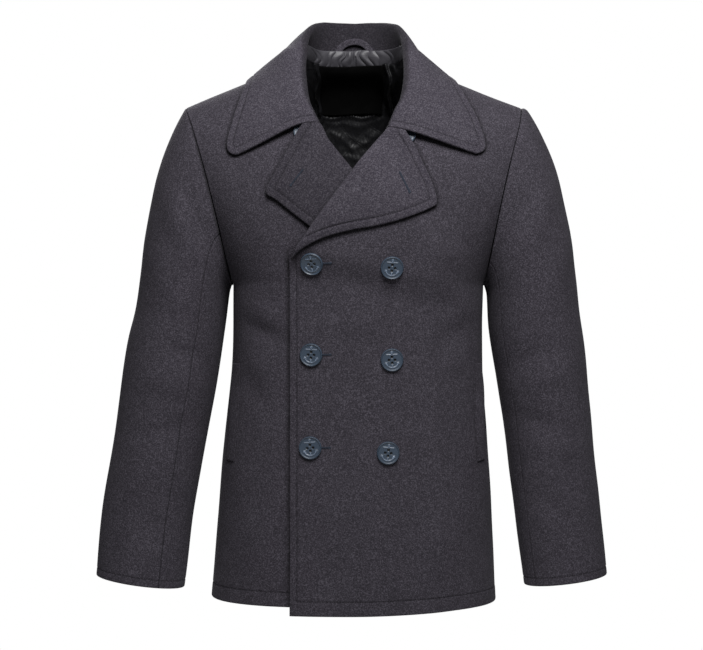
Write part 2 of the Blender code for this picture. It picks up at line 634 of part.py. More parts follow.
def collar_half(side):
    """Sections of half the collar, from the middle of the back to the gorge."""
    back_x = SHOULDER_X * np.array(BACK_SHARES[:5])
    front_levels = np.array(COLLAR_LEVELS)
    x = np.concatenate([back_x, inner_edge(front_levels, side)])
    level = np.concatenate([neck_level(back_x), front_levels])
    q = np.sqrt(1 - level) * np.where(np.arange(len(x)) < len(back_x), -1, 1)
    place = np.linspace(0, 1, len(x))
    rim = form(x, q)
    n = form_normal(x, q)[0]
    n[0, 0] = 0
    into = np.cross(n, np.gradient(rim, axis=0))
    into = unit(into)
    into *= np.sign(into[:, 2:3])
    roll = np.stack([table(ROLL, place, axis) for axis in ("x", "y", "z")], -1)
    roll[:, 0] += (GORGE_X[side] - GORGE_X[1]) * smooth((place - 0.7) / 0.3) - side * sway(roll[:, 2])
    radial = roll * np.array([1, 1, 0]) - np.array([0, 0.010, 0])
    out = unit(unit(radial) * (1 - smooth((place - 0.5) / 0.5))[:, None]
               + n * smooth((place - 0.5) / 0.5)[:, None])
    foot = rim - n * WALL / 2 + unit(into + unit(roll - rim)) * COLLAR_GAP
    edge_x, edge_q = table(EDGE, place, "x"), table(EDGE, place, "q")
    over = DOUBLE / 2 + COLLAR_EASE + SHOULDER_EASE * smooth(1 - np.abs(place - 0.58) / 0.2)
    edge = form(edge_x, edge_q) + form_normal(edge_x, edge_q)[0] * over[:, None]
    slack = COLLAR_SLACK * (1 - smooth((0.2 - place) / 0.2))
    half = folded(foot, roll, out, edge, np.full(len(x), FOLD_RADIUS), slack)
    t = np.linspace(0, 1, FALL_POINTS)
    half[-1, -FALL_POINTS:, 2] += NOTCH_BOW * t * (1 - t)**3 / 0.105
    return placed(half, side)


def collar(name):
    right, left = collar_half(-1), collar_half(1)
    return thick(name, np.concatenate([right[:0:-1], left]), DOUBLE, MELTON)


def lapel(name, side, rows, bend, lift):
    """Turned lapel, from the break up to the gorge; x is counted towards its own side."""
    level = np.linspace(ROLL_LEVEL, GORGE_LEVEL - GORGE_BELOW, len(rows))
    x = inner_edge(level, side)
    place = np.linspace(0, 1, len(rows))
    q = np.sqrt(1 - level)
    n = form_normal(x, q)[0]
    raised = lift if lift else (lambda x, z: 0 * x)
    rim = form(x, q)
    rim += n * (raised(x, rim[:, 2]) - WALL / 2)[:, None]
    foot = rim - np.array([LAPEL_GAP, 0, 0])
    fold = bend.low + bend.grow * smooth((place - bend.start) / FOLD_SPREAD)
    roll = form(x - PANEL_BACK, q)
    roll += n * (raised(x, roll[:, 2]) - WALL / 2 + fold)[:, None]
    ex, ez = np.array([row.edge_x for row in rows]), np.array([row.edge_z for row in rows])
    over = np.array([row.over for row in rows])
    ex -= side * sway(ez)
    level_e = level_of(ex, ez, -1)
    edge = body(ex, level_e, -1)
    slope = form_normal(ex, np.sqrt(1 - level_e))[0][:, 1]
    edge[:, 1] -= (raised(ex, ez) + over + DOUBLE / 2) / np.abs(slope)
    middle = folded(foot, roll, n, edge, fold, np.full(len(rows), LAPEL_SLACK), lift)
    return thick(name, placed(middle, side), DOUBLE, MELTON)


# ---- neck: hanger loop, band, lining and label -------------------------------------------
def inside_back(x, level, depth):
    """Point inside the back, a depth below the body form."""
    q = -np.sqrt(1 - level)
    return form(x, q) - form_normal(x, q)[0] * np.asarray(depth)[..., None]


def drop_level(x, drop):
    """Level of the back that lies a drop below its neckline over x."""
    top = neck_level(np.minimum(np.abs(x), NECK_X))
    return top - drop / (ridge(x, NAPE_RISE) - UNDERARM)


def neck_band(name):
    """Gathered band between the collar and the lining."""
    x = np.linspace(-BAND_HALF, BAND_HALF, 3 * GATHERS + 1)[None, :]
    drop = np.linspace(BAND_TOP, BAND_LOW, 3)[:, None]
    level = drop_level(x, drop)
    x = x + 0 * drop
    wave = GATHER_DEPTH * (0.5 - 0.5 * np.cos(2 * pi * np.arange(x.shape[1]) / 3))
    near = inside_back(x, level, np.full(x.shape, LINING_DEPTH))
    far = inside_back(x, level, LINING_DEPTH + TRIM + wave + 0 * x)
    return body_wall(name, 1, near, far, BAND)


def lining(name):
    """Quilted lining of the upper back, plain outside and padded in diamonds inside."""
    share = np.linspace(-1, 1, LINING_COLUMNS)[None, :]
    v = np.linspace(0, 1, LINING_ROWS)[:, None]
    half = LINING_TOP_HALF + (LINING_LOW_HALF - LINING_TOP_HALF) * np.sqrt(v)
    x = share * half
    top = drop_level(x, LINING_DROP)
    level = top + (LINING_LEVEL - top) * v
    z = form(x, -np.sqrt(1 - level))[..., 2]
    diamond = np.abs(np.sin(pi * (x + z) / QUILT) * np.sin(pi * (x - z) / QUILT))
    near = inside_back(x, level, np.full(x.shape, LINING_DEPTH))
    far = inside_back(x, level, LINING_DEPTH + TRIM + QUILT_PUFF * np.sqrt(diamond))
    return body_wall(name, 1, near, far, LINING)


def label(name):
    x = np.linspace(-LABEL_HALF, LABEL_HALF, 7)[None, :]
    z = np.linspace(LABEL_TOP, LABEL_LOW, 5)[:, None]
    x = x + 0 * z
    level = level_of(x, z + 0 * x, 1)
    depth = LINING_DEPTH + TRIM + QUILT_PUFF + EASE
    near = inside_back(x, level, np.full(x.shape, depth))
    far = inside_back(x, level, np.full(x.shape, depth + LABEL_WALL))
    return body_wall(name, 1, near, far, LABEL)


def hanger_loop(name):
    """Flat loop standing inside the collar, its feet at the neck seam."""
    turn = np.linspace(0, pi, LOOP_STEPS)
    x, rise = LOOP_X + LOOP_HALF * np.cos(turn), LOOP_HIGH * np.sin(turn)
    y = NAPE_Y * np.sqrt(1 - (x / NECK_X)**2) - LOOP_OFF
    path = np.stack([x, y, LOOP_Z + rise], -1)
    out = unit(np.stack([np.cos(turn) / LOOP_HALF, 0 * turn, np.sin(turn) / LOOP_HIGH], -1))
    back = np.array([0, 1, 0]) * LOOP_WALL / 2
    near = np.stack([path - out * LOOP_WIDE / 2, path + out * LOOP_WIDE / 2], 1)
    return body_wall(name, 1, near + back, near - back, MELTON)


# ---- buttons ---------------------------------------------------------------------------
def button_mesh():
    """Turned disc with a raised rim and a dished middle, and four thread holes."""
    profile = [(0.0, 0.0), (BUTTON_R * 0.86, 0.0), (BUTTON_R, BUTTON_T * 0.38),
               (BUTTON_R * 0.93, BUTTON_T), (BUTTON_R * 0.80, BUTTON_T * 0.80),
               (BUTTON_R * 0.40, BUTTON_T * 0.72), (0.0, BUTTON_T * 0.72)]
    rings = [(r, h) for r, h in profile if r > 0]
    vertices = [(0, 0, profile[0][1])]
    for r, h in rings:
        turn = np.arange(BUTTON_SIDES) * 2 * pi / BUTTON_SIDES
        vertices += list(zip(r * np.cos(turn), r * np.sin(turn), np.full(BUTTON_SIDES, h)))
    vertices.append((0, 0, profile[-1][1]))
    faces = []
    for k in range(BUTTON_SIDES):
        after = (k + 1) % BUTTON_SIDES
        faces.append((0, 1 + after, 1 + k))
        for ring in range(len(rings) - 1):
            a, b = 1 + ring * BUTTON_SIDES, 1 + (ring + 1) * BUTTON_SIDES
            faces.append((a + k, a + after, b + after, b + k))
        last = 1 + (len(rings) - 1) * BUTTON_SIDES
        faces.append((last + k, last + after, len(vertices) - 1))
    return vertices, faces


def hole_cutter():
    """Four prisms that cut the thread holes, kept as a hidden helper."""
    vertices, faces = [], []
    for k in range(4):
        cx, cy = HOLE_RING * np.cos(k * pi / 2), HOLE_RING * np.sin(k * pi / 2)
        base = len(vertices)
        for z in (-BUTTON_T, 2 * BUTTON_T):
            for j in range(HOLE_SIDES):
                turn = j * 2 * pi / HOLE_SIDES
                vertices.append((cx + HOLE_R * np.cos(turn), cy + HOLE_R * np.sin(turn), z))
        low = list(range(base, base + HOLE_SIDES))
        high = [v + HOLE_SIDES for v in low]
        faces += [low[::-1], high]
        faces += [[low[j], low[(j + 1) % HOLE_SIDES], high[(j + 1) % HOLE_SIDES], high[j]]
                  for j in range(HOLE_SIDES)]
    cutter = new_object("button_holes", vertices, faces, PLASTIC)
    cutter.hide_render = True
    cutter.display_type = "WIRE"
    return cutter


def surface_of(thing):
    mesh = thing.data
    return BVHTree.FromPolygons([v.co for v in mesh.vertices], [p.vertices for p in mesh.polygons])


def seat_buttons(panels):
    """Each button on its front, face out, with its back just off the cloth."""
    vertices, faces = button_mesh()
    cutter = hole_cutter()
    for row in BUTTONS:
        skin = surface_of(panels[row.panel])
        hits = []
        for r in np.linspace(0, BUTTON_R, SEAT_RINGS + 1):
            for turn in np.arange(BUTTON_SIDES) * 2 * pi / BUTTON_SIDES:
                start = Vector((row.x + r * np.cos(turn), -1, row.z + r * np.sin(turn)))
                hits.append(skin.ray_cast(start, Vector((0, 1, 0)))[0])
        seat, quarter = hits[0], BUTTON_SIDES // 4
        right, above, left, below = (hits[k * quarter - BUTTON_SIDES] or seat for k in range(4))
        across = (right - left).normalized()
        face = across.cross(above - below).normalized()
        stand = max((hit - seat).dot(face) for hit in hits if hit)
        button = new_object(row.name, vertices, faces, PLASTIC)
        turned = Matrix((across, face.cross(across), face)).transposed().to_4x4()
        button.matrix_world = Matrix.Translation(seat + face * (stand + SEAM)) @ turned
        holes = button.modifiers.new("holes", "BOOLEAN")
        holes.object, holes.solver = cutter_copy(cutter, row.name, button.matrix_world), "EXACT"
    bpy.data.objects.remove(cutter, do_unlink=True)


def cutter_copy(cutter, name, place):
    copy = bpy.data.objects.new(name + "_holes", cutter.data)
    bpy.context.scene.collection.objects.link(copy)
    copy.matrix_world = place
    copy.hide_render = True
    copy.display_type = "WIRE"
    return copy


# ---- the model -------------------------------------------------------------------------
for thing in list(bpy.data.objects):
    bpy.data.objects.remove(thing, do_unlink=True)

fronts = {"front_left": front_panel("front_left", 1), "front_right": front_panel("front_right", -1)}
back_panel("back_left", 1)
back_panel("back_right", -1)
sleeve(("sleeve_left_top", "sleeve_left_under"), 1, LEFT_SLEEVE)
sleeve(("sleeve_right_top", "sleeve_right_under"), -1, RIGHT_SLEEVE)
collar("collar")
lapel("lapel_left", 1, LEFT_LAPEL, LEFT_FOLD, overlap_lift)
lapel("lapel_right", -1, RIGHT_LAPEL, RIGHT_FOLD, None)
pocket_welt("pocket_welt_left", 1)
pocket_welt("pocket_welt_right", -1)
neck_band("neck_band")
lining("back_lining")
label("neck_label")
hanger_loop("hanger_loop")
seat_buttons(fronts)
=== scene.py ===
from math import pi, radians

import bmesh
import bpy
import numpy as np
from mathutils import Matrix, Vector


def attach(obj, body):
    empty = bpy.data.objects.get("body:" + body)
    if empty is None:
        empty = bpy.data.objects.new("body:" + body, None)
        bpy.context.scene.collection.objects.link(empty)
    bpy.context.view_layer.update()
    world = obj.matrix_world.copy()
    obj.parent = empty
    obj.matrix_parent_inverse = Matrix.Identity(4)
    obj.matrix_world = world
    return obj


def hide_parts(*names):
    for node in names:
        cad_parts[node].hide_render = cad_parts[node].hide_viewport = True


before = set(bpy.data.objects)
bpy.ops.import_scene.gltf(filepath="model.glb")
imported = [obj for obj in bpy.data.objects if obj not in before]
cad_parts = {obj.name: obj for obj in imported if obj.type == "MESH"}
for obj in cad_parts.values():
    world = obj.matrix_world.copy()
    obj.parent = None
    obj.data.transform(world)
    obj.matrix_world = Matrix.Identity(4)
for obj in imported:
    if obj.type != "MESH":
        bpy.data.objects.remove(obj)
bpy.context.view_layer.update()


# small maths, all on whole arrays

def smooth(t):
    # 0 below 0, 1 above 1, 3t^2 - 2t^3 between
    t = np.clip(t, 0, 1)
    return t * t * (3 - 2 * t)


def unit(v):
    # each vector divided by its own length
    return v / np.maximum(np.linalg.norm(v, axis=-1, keepdims=True), 1e-12)


def bump(t):
    # bell of height 1 at 0, exp(-t^2)
    return np.exp(-np.square(t))


def stroke(x, y, x0, y0, x1, y1, width):
    # raised line between two points, bell across
    dx, dy = x1 - x0, y1 - y0
    t = np.clip(((x - x0) * dx + (y - y0) * dy) / (dx * dx + dy * dy), 0, 1)
    return bump(np.hypot(x - x0 - t * dx, y - y0 - t * dy) / width)


def cubic(t, span, start, end, slope, endSlope):
    # t from 0 to 1 between two values, with their slopes over a span
    return ((2 * t**3 - 3 * t**2 + 1) * start + (t**3 - 2 * t**2 + t) * span * slope
            + (3 * t**2 - 2 * t**3) * end + (t**3 - t**2) * span * endSlope)


def curve(keys, values, at):
    # cubic through the values with slopes taken from their neighbours; a value may be a row of points
    keys, values = np.asarray(keys, float), np.asarray(values, float)
    slopes = np.gradient(values, keys, axis=0)
    at = np.clip(at, keys[0], keys[-1])
    i = np.clip(np.searchsorted(keys, at) - 1, 0, len(keys) - 2)
    t = ((at - keys[i]) / (keys[i + 1] - keys[i])).reshape(np.shape(at) + (1,) * (values.ndim - 1))
    span = (keys[i + 1] - keys[i]).reshape(t.shape)
    return cubic(t, span, values[i], values[i + 1], slopes[i], slopes[i + 1])


def along(keys, grid, at):
    # the same cubic along each row of a grid of points, at places given for each row
    slopes = np.gradient(grid, keys, axis=1)
    i = np.clip(np.searchsorted(keys, at) - 1, 0, len(keys) - 2)
    row = np.arange(len(grid))[:, None]
    span = (keys[i + 1] - keys[i])[..., None]
    t = (at - keys[i])[..., None] / span
    return cubic(t, span, grid[row, i], grid[row, i + 1], slopes[row, i], slopes[row, i + 1])


# extra places in from each end and round a line of sewing, and the least distance between two
spacing = {"ends": np.array([0, 0.00025, 0.0007, 0.0013, 0.0021, 0.0032]),
           "line": np.array([-0.0026, -0.0016, -0.0008, 0, 0.0008, 0.0016, 0.0026]), "least": 0.00022}


def marks(length, step, *close):
    # shares of a length: even steps, finer at both ends and round each distance in close
    parts = [np.linspace(0, length, max(2, round(length / step))), spacing["ends"], length - spacing["ends"]]
    parts += [spacing["line"] + c for c in close]
    places = np.unique(np.round(np.concatenate(parts), 6))
    keep = np.concatenate([[True], np.diff(places) > spacing["least"]])
    return np.clip(places[keep], 0, length) / length


def gridNormals(points, outward):
    # cross product of the grid's two directions, on the side that outward gives at its middle
    n = unit(np.cross(np.gradient(points, axis=0), np.gradient(points, axis=1)))
    middle = n[n.shape[0] // 2, n.shape[1] // 2]
    return n if middle @ np.asarray(outward, float) > 0 else -n


def steps(points, axis):
    # length run along one direction of a grid of points
    pace = np.linalg.norm(np.diff(points, axis=axis), axis=-1)
    start = np.zeros_like(np.take(pace, [0], axis=axis))
    return np.cumsum(np.concatenate([start, pace], axis=axis), axis=axis)


def alongPath(points, path, step=0.001):
    # distance from each point to a path, and how far along the path its nearest point lies
    run = steps(path, 0)
    at = np.linspace(0, run[-1], max(2, int(run[-1] / step)))
    dense = np.stack([np.interp(at, run, path[:, k]) for k in range(3)], -1)
    flat = points.reshape(-1, 3)
    away, place = np.empty(len(flat)), np.empty(len(flat))
    for first in range(0, len(flat), 4000):
        gap = np.linalg.norm(flat[first:first + 4000, None] - dense[None], axis=-1)
        away[first:first + 4000] = gap.min(1)
        place[first:first + 4000] = at[gap.argmin(1)]
    return away.reshape(points.shape[:-1]), place.reshape(points.shape[:-1])


# the body form that the coat is cut to, the same one as its solids'

bodyForm = {
    "height": [-0.722, -0.645, -0.560, -0.475, -0.390, -0.320, -0.270],
    "halfWidth": [0.2015, 0.1965, 0.1910, 0.1845, 0.1775, 0.1760, 0.1765],
    "front": [0.134, 0.133, 0.131, 0.129, 0.130, 0.133, 0.135],
    "back": [0.120, 0.117, 0.112, 0.106, 0.104, 0.110, 0.118],
    "swayHeight": [-0.722, -0.560, -0.270, -0.050, 0.0, 0.030, 0.090],
    "sway": [-0.0020, 0.0, 0.0045, 0.0008, -0.0040, -0.0065, -0.0050],
    "roundness": 2.5,
    "underarm": -0.270,
    "neck": (0.085, 0.039),            # inner end of the shoulder seam
    "shoulder": 0.237, "slope": 0.41, "ridgeSoft": 0.050,
    "armholeFront": 0.084, "armholeBack": 0.090, "armholeHollow": 0.004,
    "chest": 0.010, "chestTop": 0.833, "blade": 0.022, "bladeLow": 0.8,
    "frontCurve": 2.6, "backCurve": 4,
    "napeRise": 0.040, "napeHalf": 0.088, "napeRamp": 0.050, "napeBack": 0.058,
}
cloth = {"wall": 0.0026, "double": 0.0040, "ease": 0.0014, "gap": 0.0003}
b = bodyForm


def ridge(x, nape=0.0):
    # height of the shoulder line over x, raised by nape in the middle of the back
    top = b["neck"][1] + b["slope"] * (np.hypot(b["neck"][0], b["ridgeSoft"]) - b["ridgeSoft"])
    line = top - b["slope"] * (np.hypot(x, b["ridgeSoft"]) - b["ridgeSoft"])
    return line + nape * smooth((b["napeHalf"] - np.abs(x)) / b["napeRamp"])


def oval(level, side):
    # half width to the armhole, full half width and depth of the body at a level:
    # metres under the underarm below 0, and a share of the way to the shoulder line above it
    low = np.minimum(level, 0) + b["underarm"]
    share = np.clip(level, 0, 1)
    half = curve(b["height"], b["halfWidth"], low)
    edge = half + (b["shoulder"] - half) * share - b["armholeHollow"] * np.sin(pi * share)
    if side < 0:
        full = b["chest"] * np.sin(pi * np.minimum(share / b["chestTop"], 1))
        depth = (curve(b["height"], b["front"], low) + full) * np.sqrt(1 - share**b["frontCurve"])
    else:
        full = b["blade"] * np.sin(pi * share**b["bladeLow"])
        depth = (curve(b["height"], b["back"], low) + full) * np.sqrt(1 - share**b["backCurve"])
    reach = b["armholeFront"] if side < 0 else b["armholeBack"]
    ratio = np.clip(2 * reach * np.sqrt(share * (1 - share)) / np.maximum(depth, 1e-6), 0, 0.98)
    return edge, edge / (1 - ratio**b["roundness"])**(1 / b["roundness"]), depth


def bodyPoint(x, level, side):
    # oval at that level: y = depth (1 - |x / half|^r)^(1/r), z from the shoulder line over x
    edge, full, depth = oval(level, side)
    x = np.clip(x, -edge, edge)
    r = b["roundness"]
    y = side * depth * np.maximum(1 - (np.abs(x) / full)**r, 0)**(1 / r)
    top = ridge(x, b["napeRise"] if side > 0 else 0.0)
    z = b["underarm"] + np.minimum(level, 0) + (top - b["underarm"]) * np.clip(level, 0, 1)
    return np.stack([x, y, z + 0 * y], -1)


def sway(z):
    # how far the whole coat leans to its left at a height
    return np.interp(z, b["swayHeight"], b["sway"])


def placed(points, side):
    # the left half brought to a side, then moved with the sway of its height
    points = points * np.array([side, 1, 1])
    points[..., 0] += sway(points[..., 2])
    return points


def heightAt(x, level):
    # z of a level at the front: metres from the underarm below 0, shares of the way to the ridge above
    return (b["underarm"] + np.minimum(level, 0)
            + (ridge(x) - b["underarm"]) * np.clip(level, 0, 1))


def levelOf(x, z, side):
    # the level that lies at height z, the other way round
    top = ridge(x, b["napeRise"] if side > 0 else 0.0)
    return np.where(z < b["underarm"], z - b["underarm"],
                    (z - b["underarm"]) / (top - b["underarm"]))


def form(x, q):
    # the body with q running over the shoulder: level = 1 - q^2, + in front and - behind
    level = 1 - q**2
    return np.where((q >= 0)[..., None], bodyPoint(x, level, -1), bodyPoint(x, level, 1))


def formNormal(x, q, step=1e-4):
    # outward normal of the form, and its slopes over x and over q
    across = (form(x + step, q) - form(x - step, q)) / (2 * step)
    over = (form(x, q + step) - form(x, q - step)) / (2 * step)
    n = unit(np.cross(across, over))
    centre = np.array([0, 0, b["underarm"]])
    return n * np.sign(np.sum((form(x, q) - centre) * n, axis=-1, keepdims=True)), across, over


def toForm(points, x, q):
    # nearest place on the form by repeated steps in its tangent plane: x, q and height over it
    for _ in range(12):
        n, across, over = formNormal(x, q)
        gap = points - form(x, q)
        away = np.sum(gap * n, axis=-1)
        side = gap - n * away[..., None]
        aa, ao, oo = (np.sum(u * v, -1) for u, v in ((across, across), (across, over), (over, over)))
        sa, so = np.sum(side * across, -1), np.sum(side * over, -1)
        det = aa * oo - ao * ao
        x, q = x + 0.8 * (sa * oo - so * ao) / det, q + 0.8 * (so * aa - sa * ao) / det
    return x, q, away


# front edges, roll lines and the lift of the lapped front

frontEdge = {
    "overlap": 0.088, "breakLevel": 0.139, "rollLevel": 0.143, "breakX": 0.085, "back": 0.006,
    "gorgeLevel": 0.647, "gorgeX": {1: 0.0405, -1: 0.0459}, "neckLevel": (0.81, 0.0735),
    "ramp": (0.055, 0.045), "lapelRamp": (0.080, 0.065), "lapelRise": (0.070, 0.045),
    "underLapel": (-0.0606, -0.195, -0.266),
}
e = frontEdge
breakHeight = heightAt(e["overlap"], e["breakLevel"])


def rollX(z, side):
    # roll line as seen from the front, straight from the break to the gorge
    gorge = heightAt(e["gorgeX"][side], e["gorgeLevel"])
    return -e["breakX"] + (e["gorgeX"][side] + e["breakX"]) * (z - breakHeight) / (gorge - breakHeight)


def innerEdge(level, side):
    # a front's edge towards the opening: straight, then behind the roll, then the neckline
    start = rollX(heightAt(e["breakX"], e["rollLevel"]), side) + e["back"]
    levels = [-1.0, e["breakLevel"], e["rollLevel"] + 0.012, e["gorgeLevel"], e["neckLevel"][0], 1.0]
    start = start + 0.012 * (e["gorgeX"][side] + e["breakX"]) / (e["gorgeLevel"] - e["breakLevel"])
    places = [-e["overlap"], -e["overlap"], start, e["gorgeX"][side] + e["back"],
              e["neckLevel"][1], b["neck"][0]]
    seen = np.interp(level, levels, places)
    return seen - side * sway(heightAt(seen, level))


def overlapLift(x, z):
    # the left front stands off the form over the right front, and more over its lapel
    below = np.where(z < breakHeight, e["overlap"], -rollX(z, -1)) - sway(z)
    overFront = smooth((below + e["ramp"][0] - x) / e["ramp"][1])
    lower = e["underLapel"][1] + e["underLapel"][2] * (x - e["underLapel"][0])
    overLapel = smooth((below + e["lapelRamp"][0] - x) / e["lapelRamp"][1])
    overLapel = overLapel * smooth((z - lower + e["lapelRise"][0]) / e["lapelRise"][1])
    return (cloth["wall"] + cloth["gap"]) * overFront + (cloth["double"] + 3 * cloth["ease"]) * overLapel


# materials

def linear(code):
    # sRGB hex to linear light
    c = np.array([int(code[k:k + 2], 16) for k in (1, 3, 5)]) / 255
    return tuple(np.where(c <= 0.04045, c / 12.92, ((c + 0.055) / 1.055)**2.4)) + (1.0,)


def add(tree, kind, settings=None, **inputs):
    # one node with its settings; an input is a value or an output to link
    node = tree.nodes.new(kind)
    for key, value in (settings or {}).items():
        setattr(node, key, value)
    for key, value in inputs.items():
        numbered = key[0] == "i" and key[1:].isdigit()
        socket = node.inputs[int(key[1:]) if numbered else key.replace("_", " ")]
        if isinstance(value, bpy.types.NodeSocket):
            tree.links.new(value, socket)
        else:
            socket.default_value = value
    return node


def newMaterial(name, **shader):
    # material with the shader's inputs set, its node tree and its shader
    material = bpy.data.materials.new(name)
    material.use_nodes = True
    tree = material.node_tree
    principled = tree.nodes["Principled BSDF"]
    for key, value in shader.items():
        principled.inputs[key.replace("_", " ")].default_value = value
    return material, tree, principled


def maths(tree, operation, a, c=0.0, d=0.0):
    # output of one sum on values or outputs
    return add(tree, "ShaderNodeMath", {"operation": operation}, i0=a, i1=c, i2=d).outputs[0]


def times(tree, a, c):
    return maths(tree, "MULTIPLY", a, c)


def bell(tree, value, width):
    # exp(-(value / width)^2)
    squared = maths(tree, "POWER", maths(tree, "DIVIDE", value, width), 2.0)
    return maths(tree, "EXPONENT", times(tree, squared, -1.0))


def field(tree, name):
    # number kept at each vertex under a name
    return add(tree, "ShaderNodeAttribute", {"attribute_name": name}).outputs["Fac"]


def objectPlace(tree):
    # place in the object's own metres
    return add(tree, "ShaderNodeTexCoord").outputs["Object"]


def clothPlace(tree):
    # place along the cloth itself, in metres
    return add(tree, "ShaderNodeUVMap", {"uv_map": "cloth"}).outputs["UV"]


def ramped(tree, value, first, last, *between):
    # colour through stops of place and sRGB code
    ramp = add(tree, "ShaderNodeValToRGB", None, Fac=value)
    for k, (place, code) in enumerate((first, last)):
        ramp.color_ramp.elements[k].position, ramp.color_ramp.elements[k].color = place, linear(code)
    for place, code in between:
        ramp.color_ramp.elements.new(place).color = linear(code)
    return ramp.outputs[0]


def relieve(tree, shader, strength, distance, height, **under):
    # bump the shader's normal by a height
    bumped = add(tree, "ShaderNodeBump", None, Strength=strength, Distance=distance, Height=height, **under)
    tree.links.new(bumped.outputs[0], shader.inputs["Normal"])


def noise(tree, vector, size, detail=2.0, rough=0.5):
    # size is the pattern's real size in metres
    return add(tree, "ShaderNodeTexNoise", None, Vector=vector, Scale=1 / size, Detail=detail,
               Roughness=rough).outputs["Fac"]


# melton: fulled and napped wool, so it is matt and fuzzy, flecked by its mixed dark and pale fibres;
# sizes in metres, colours from its dark fibres to its pale ones
meltonLook = {
    # turned: a paler copy for the collar and lapels, as painted light
    "cloth": ("#201e23", "#2b282e", "#413e45"), "turned": ("#221f27", "#2d2a30", "#434047"),
    "sheen": "#a9a5b0", "stops": (0.35, 0.50, 0.65), "fleck": 0.0015, "clump": 0.0038, "cloud": 0.030,
    "shares": (0.74, 0.18, 0.08), "relief": (0.55, 0.6, 0.8), "nap": 0.0007,
    # valley and thread: painted shade in each line of sewing's groove and in its stitch pits
    "stitchLength": 0.0034, "stitchWidth": 0.0011, "threadWidth": 0.0006, "valley": 0.30, "thread": 0.25,
}


def meltonMaterial(name, colours):
    # colour from three noises, times painted shade in each line of sewing and by deep; relief from the flecks
    look = meltonLook
    material, tree, shader = newMaterial(name, Roughness=0.96, Specular_IOR_Level=0.15,
                                         Sheen_Weight=0.03, Sheen_Roughness=0.5)
    shader.inputs["Sheen Tint"].default_value = linear(look["sheen"])
    where = objectPlace(tree)
    fleck = noise(tree, where, look["fleck"], 1.0, 0.5)
    clump = noise(tree, where, look["clump"], 1.0, 0.5)
    cloud = noise(tree, where, look["cloud"], 2.0)
    flecks, clumps, clouds = look["shares"]
    mix = maths(tree, "ADD", times(tree, fleck, flecks), times(tree, clump, clumps))
    mix = maths(tree, "ADD", mix, times(tree, cloud, clouds))
    dark, middle, pale = zip(look["stops"], colours)
    colour = ramped(tree, mix, dark, pale, middle)
    run = field(tree, "run")
    seam = field(tree, "seam")
    valley = bell(tree, seam, look["stitchWidth"])
    beat = maths(tree, "SINE", times(tree, run, 2 * pi / look["stitchLength"]))
    stitch = times(tree, bell(tree, seam, look["threadWidth"]), maths(tree, "MAXIMUM", beat, 0.0))
    # painted shade: darker in the sewing's groove and stitch pits, then by the deep attribute
    shade = maths(tree, "SUBTRACT", 1.0, times(tree, valley, look["valley"]))
    shade = maths(tree, "SUBTRACT", shade, times(tree, stitch, look["thread"]))
    shade = times(tree, shade, maths(tree, "SUBTRACT", 1.0, field(tree, "deep")))
    shaded = add(tree, "ShaderNodeVectorMath", {"operation": "SCALE"}, i0=colour, Scale=shade)
    tree.links.new(shaded.outputs[0], shader.inputs["Base Color"])
    flecks, clumps, stitches = look["relief"]
    height = maths(tree, "ADD", times(tree, fleck, flecks), times(tree, clump, clumps))
    height = maths(tree, "SUBTRACT", height, times(tree, stitch, stitches))
    relieve(tree, shader, 0.6, look["nap"], height)
    return material


# polyester satin: smooth woven filaments, so folds flash and hollows stay near black
satinLook = {"lining": "#0c0c0e", "band": "#323135", "quilt": 0.050, "crush": 0.011, "weave": 0.0009,
             "groove": 0.10, "sunk": 0.22, "fold": 0.0020, "thread": 0.0002}


def satinMaterial(name, base, roughness, shine, crush, quilted):
    # plain colour; relief from a crushed noise, less the quilting's diagonal grooves, and from the weave
    look = satinLook
    material, tree, shader = newMaterial(name, Roughness=roughness, Specular_IOR_Level=shine)
    shader.inputs["Base Color"].default_value = linear(base)
    where = objectPlace(tree)
    height = times(tree, noise(tree, where, look["crush"], 3.0, 0.55), crush)
    if quilted:
        axes = add(tree, "ShaderNodeSeparateXYZ", None, Vector=clothPlace(tree))
        grooves = []
        for sign in ("ADD", "SUBTRACT"):
            line = maths(tree, sign, axes.outputs[0], axes.outputs[1])
            wave = maths(tree, "SINE", times(tree, line, pi / look["quilt"]))
            grooves.append(bell(tree, maths(tree, "ABSOLUTE", wave), look["groove"]))
        height = maths(tree, "SUBTRACT", height, times(tree, maths(tree, "MAXIMUM", *grooves), look["sunk"]))
    crushed = add(tree, "ShaderNodeBump", None, Strength=0.7, Distance=look["fold"], Height=height)
    relieve(tree, shader, 0.12, look["thread"], noise(tree, where, look["weave"], 1.0),
            Normal=crushed.outputs[0])
    return material


# damask label: dense black satin weave, darker than anything round it
labelLook = {"base": "#030303", "rib": 0.0020, "thread": 0.0001}


def labelMaterial():
    material, tree, shader = newMaterial("blackDamask", Roughness=0.8, Specular_IOR_Level=0.03)
    shader.inputs["Base Color"].default_value = linear(labelLook["base"])
    weave = add(tree, "ShaderNodeTexWave", {"bands_direction": "Y"}, Vector=clothPlace(tree),
                Scale=1 / labelLook["rib"])
    relieve(tree, shader, 0.1, labelLook["thread"], weave.outputs["Fac"])
    return material


# moulded polyester button: slate blue, semi-gloss, with painted highlight where it stands proud and painted
# shade in its holes
buttonLook = {"base": "#27323f", "worn": "#758397", "floor": "#07090c", "rub": 0.003, "grain": 0.0012,
              "scratch": 0.0003}


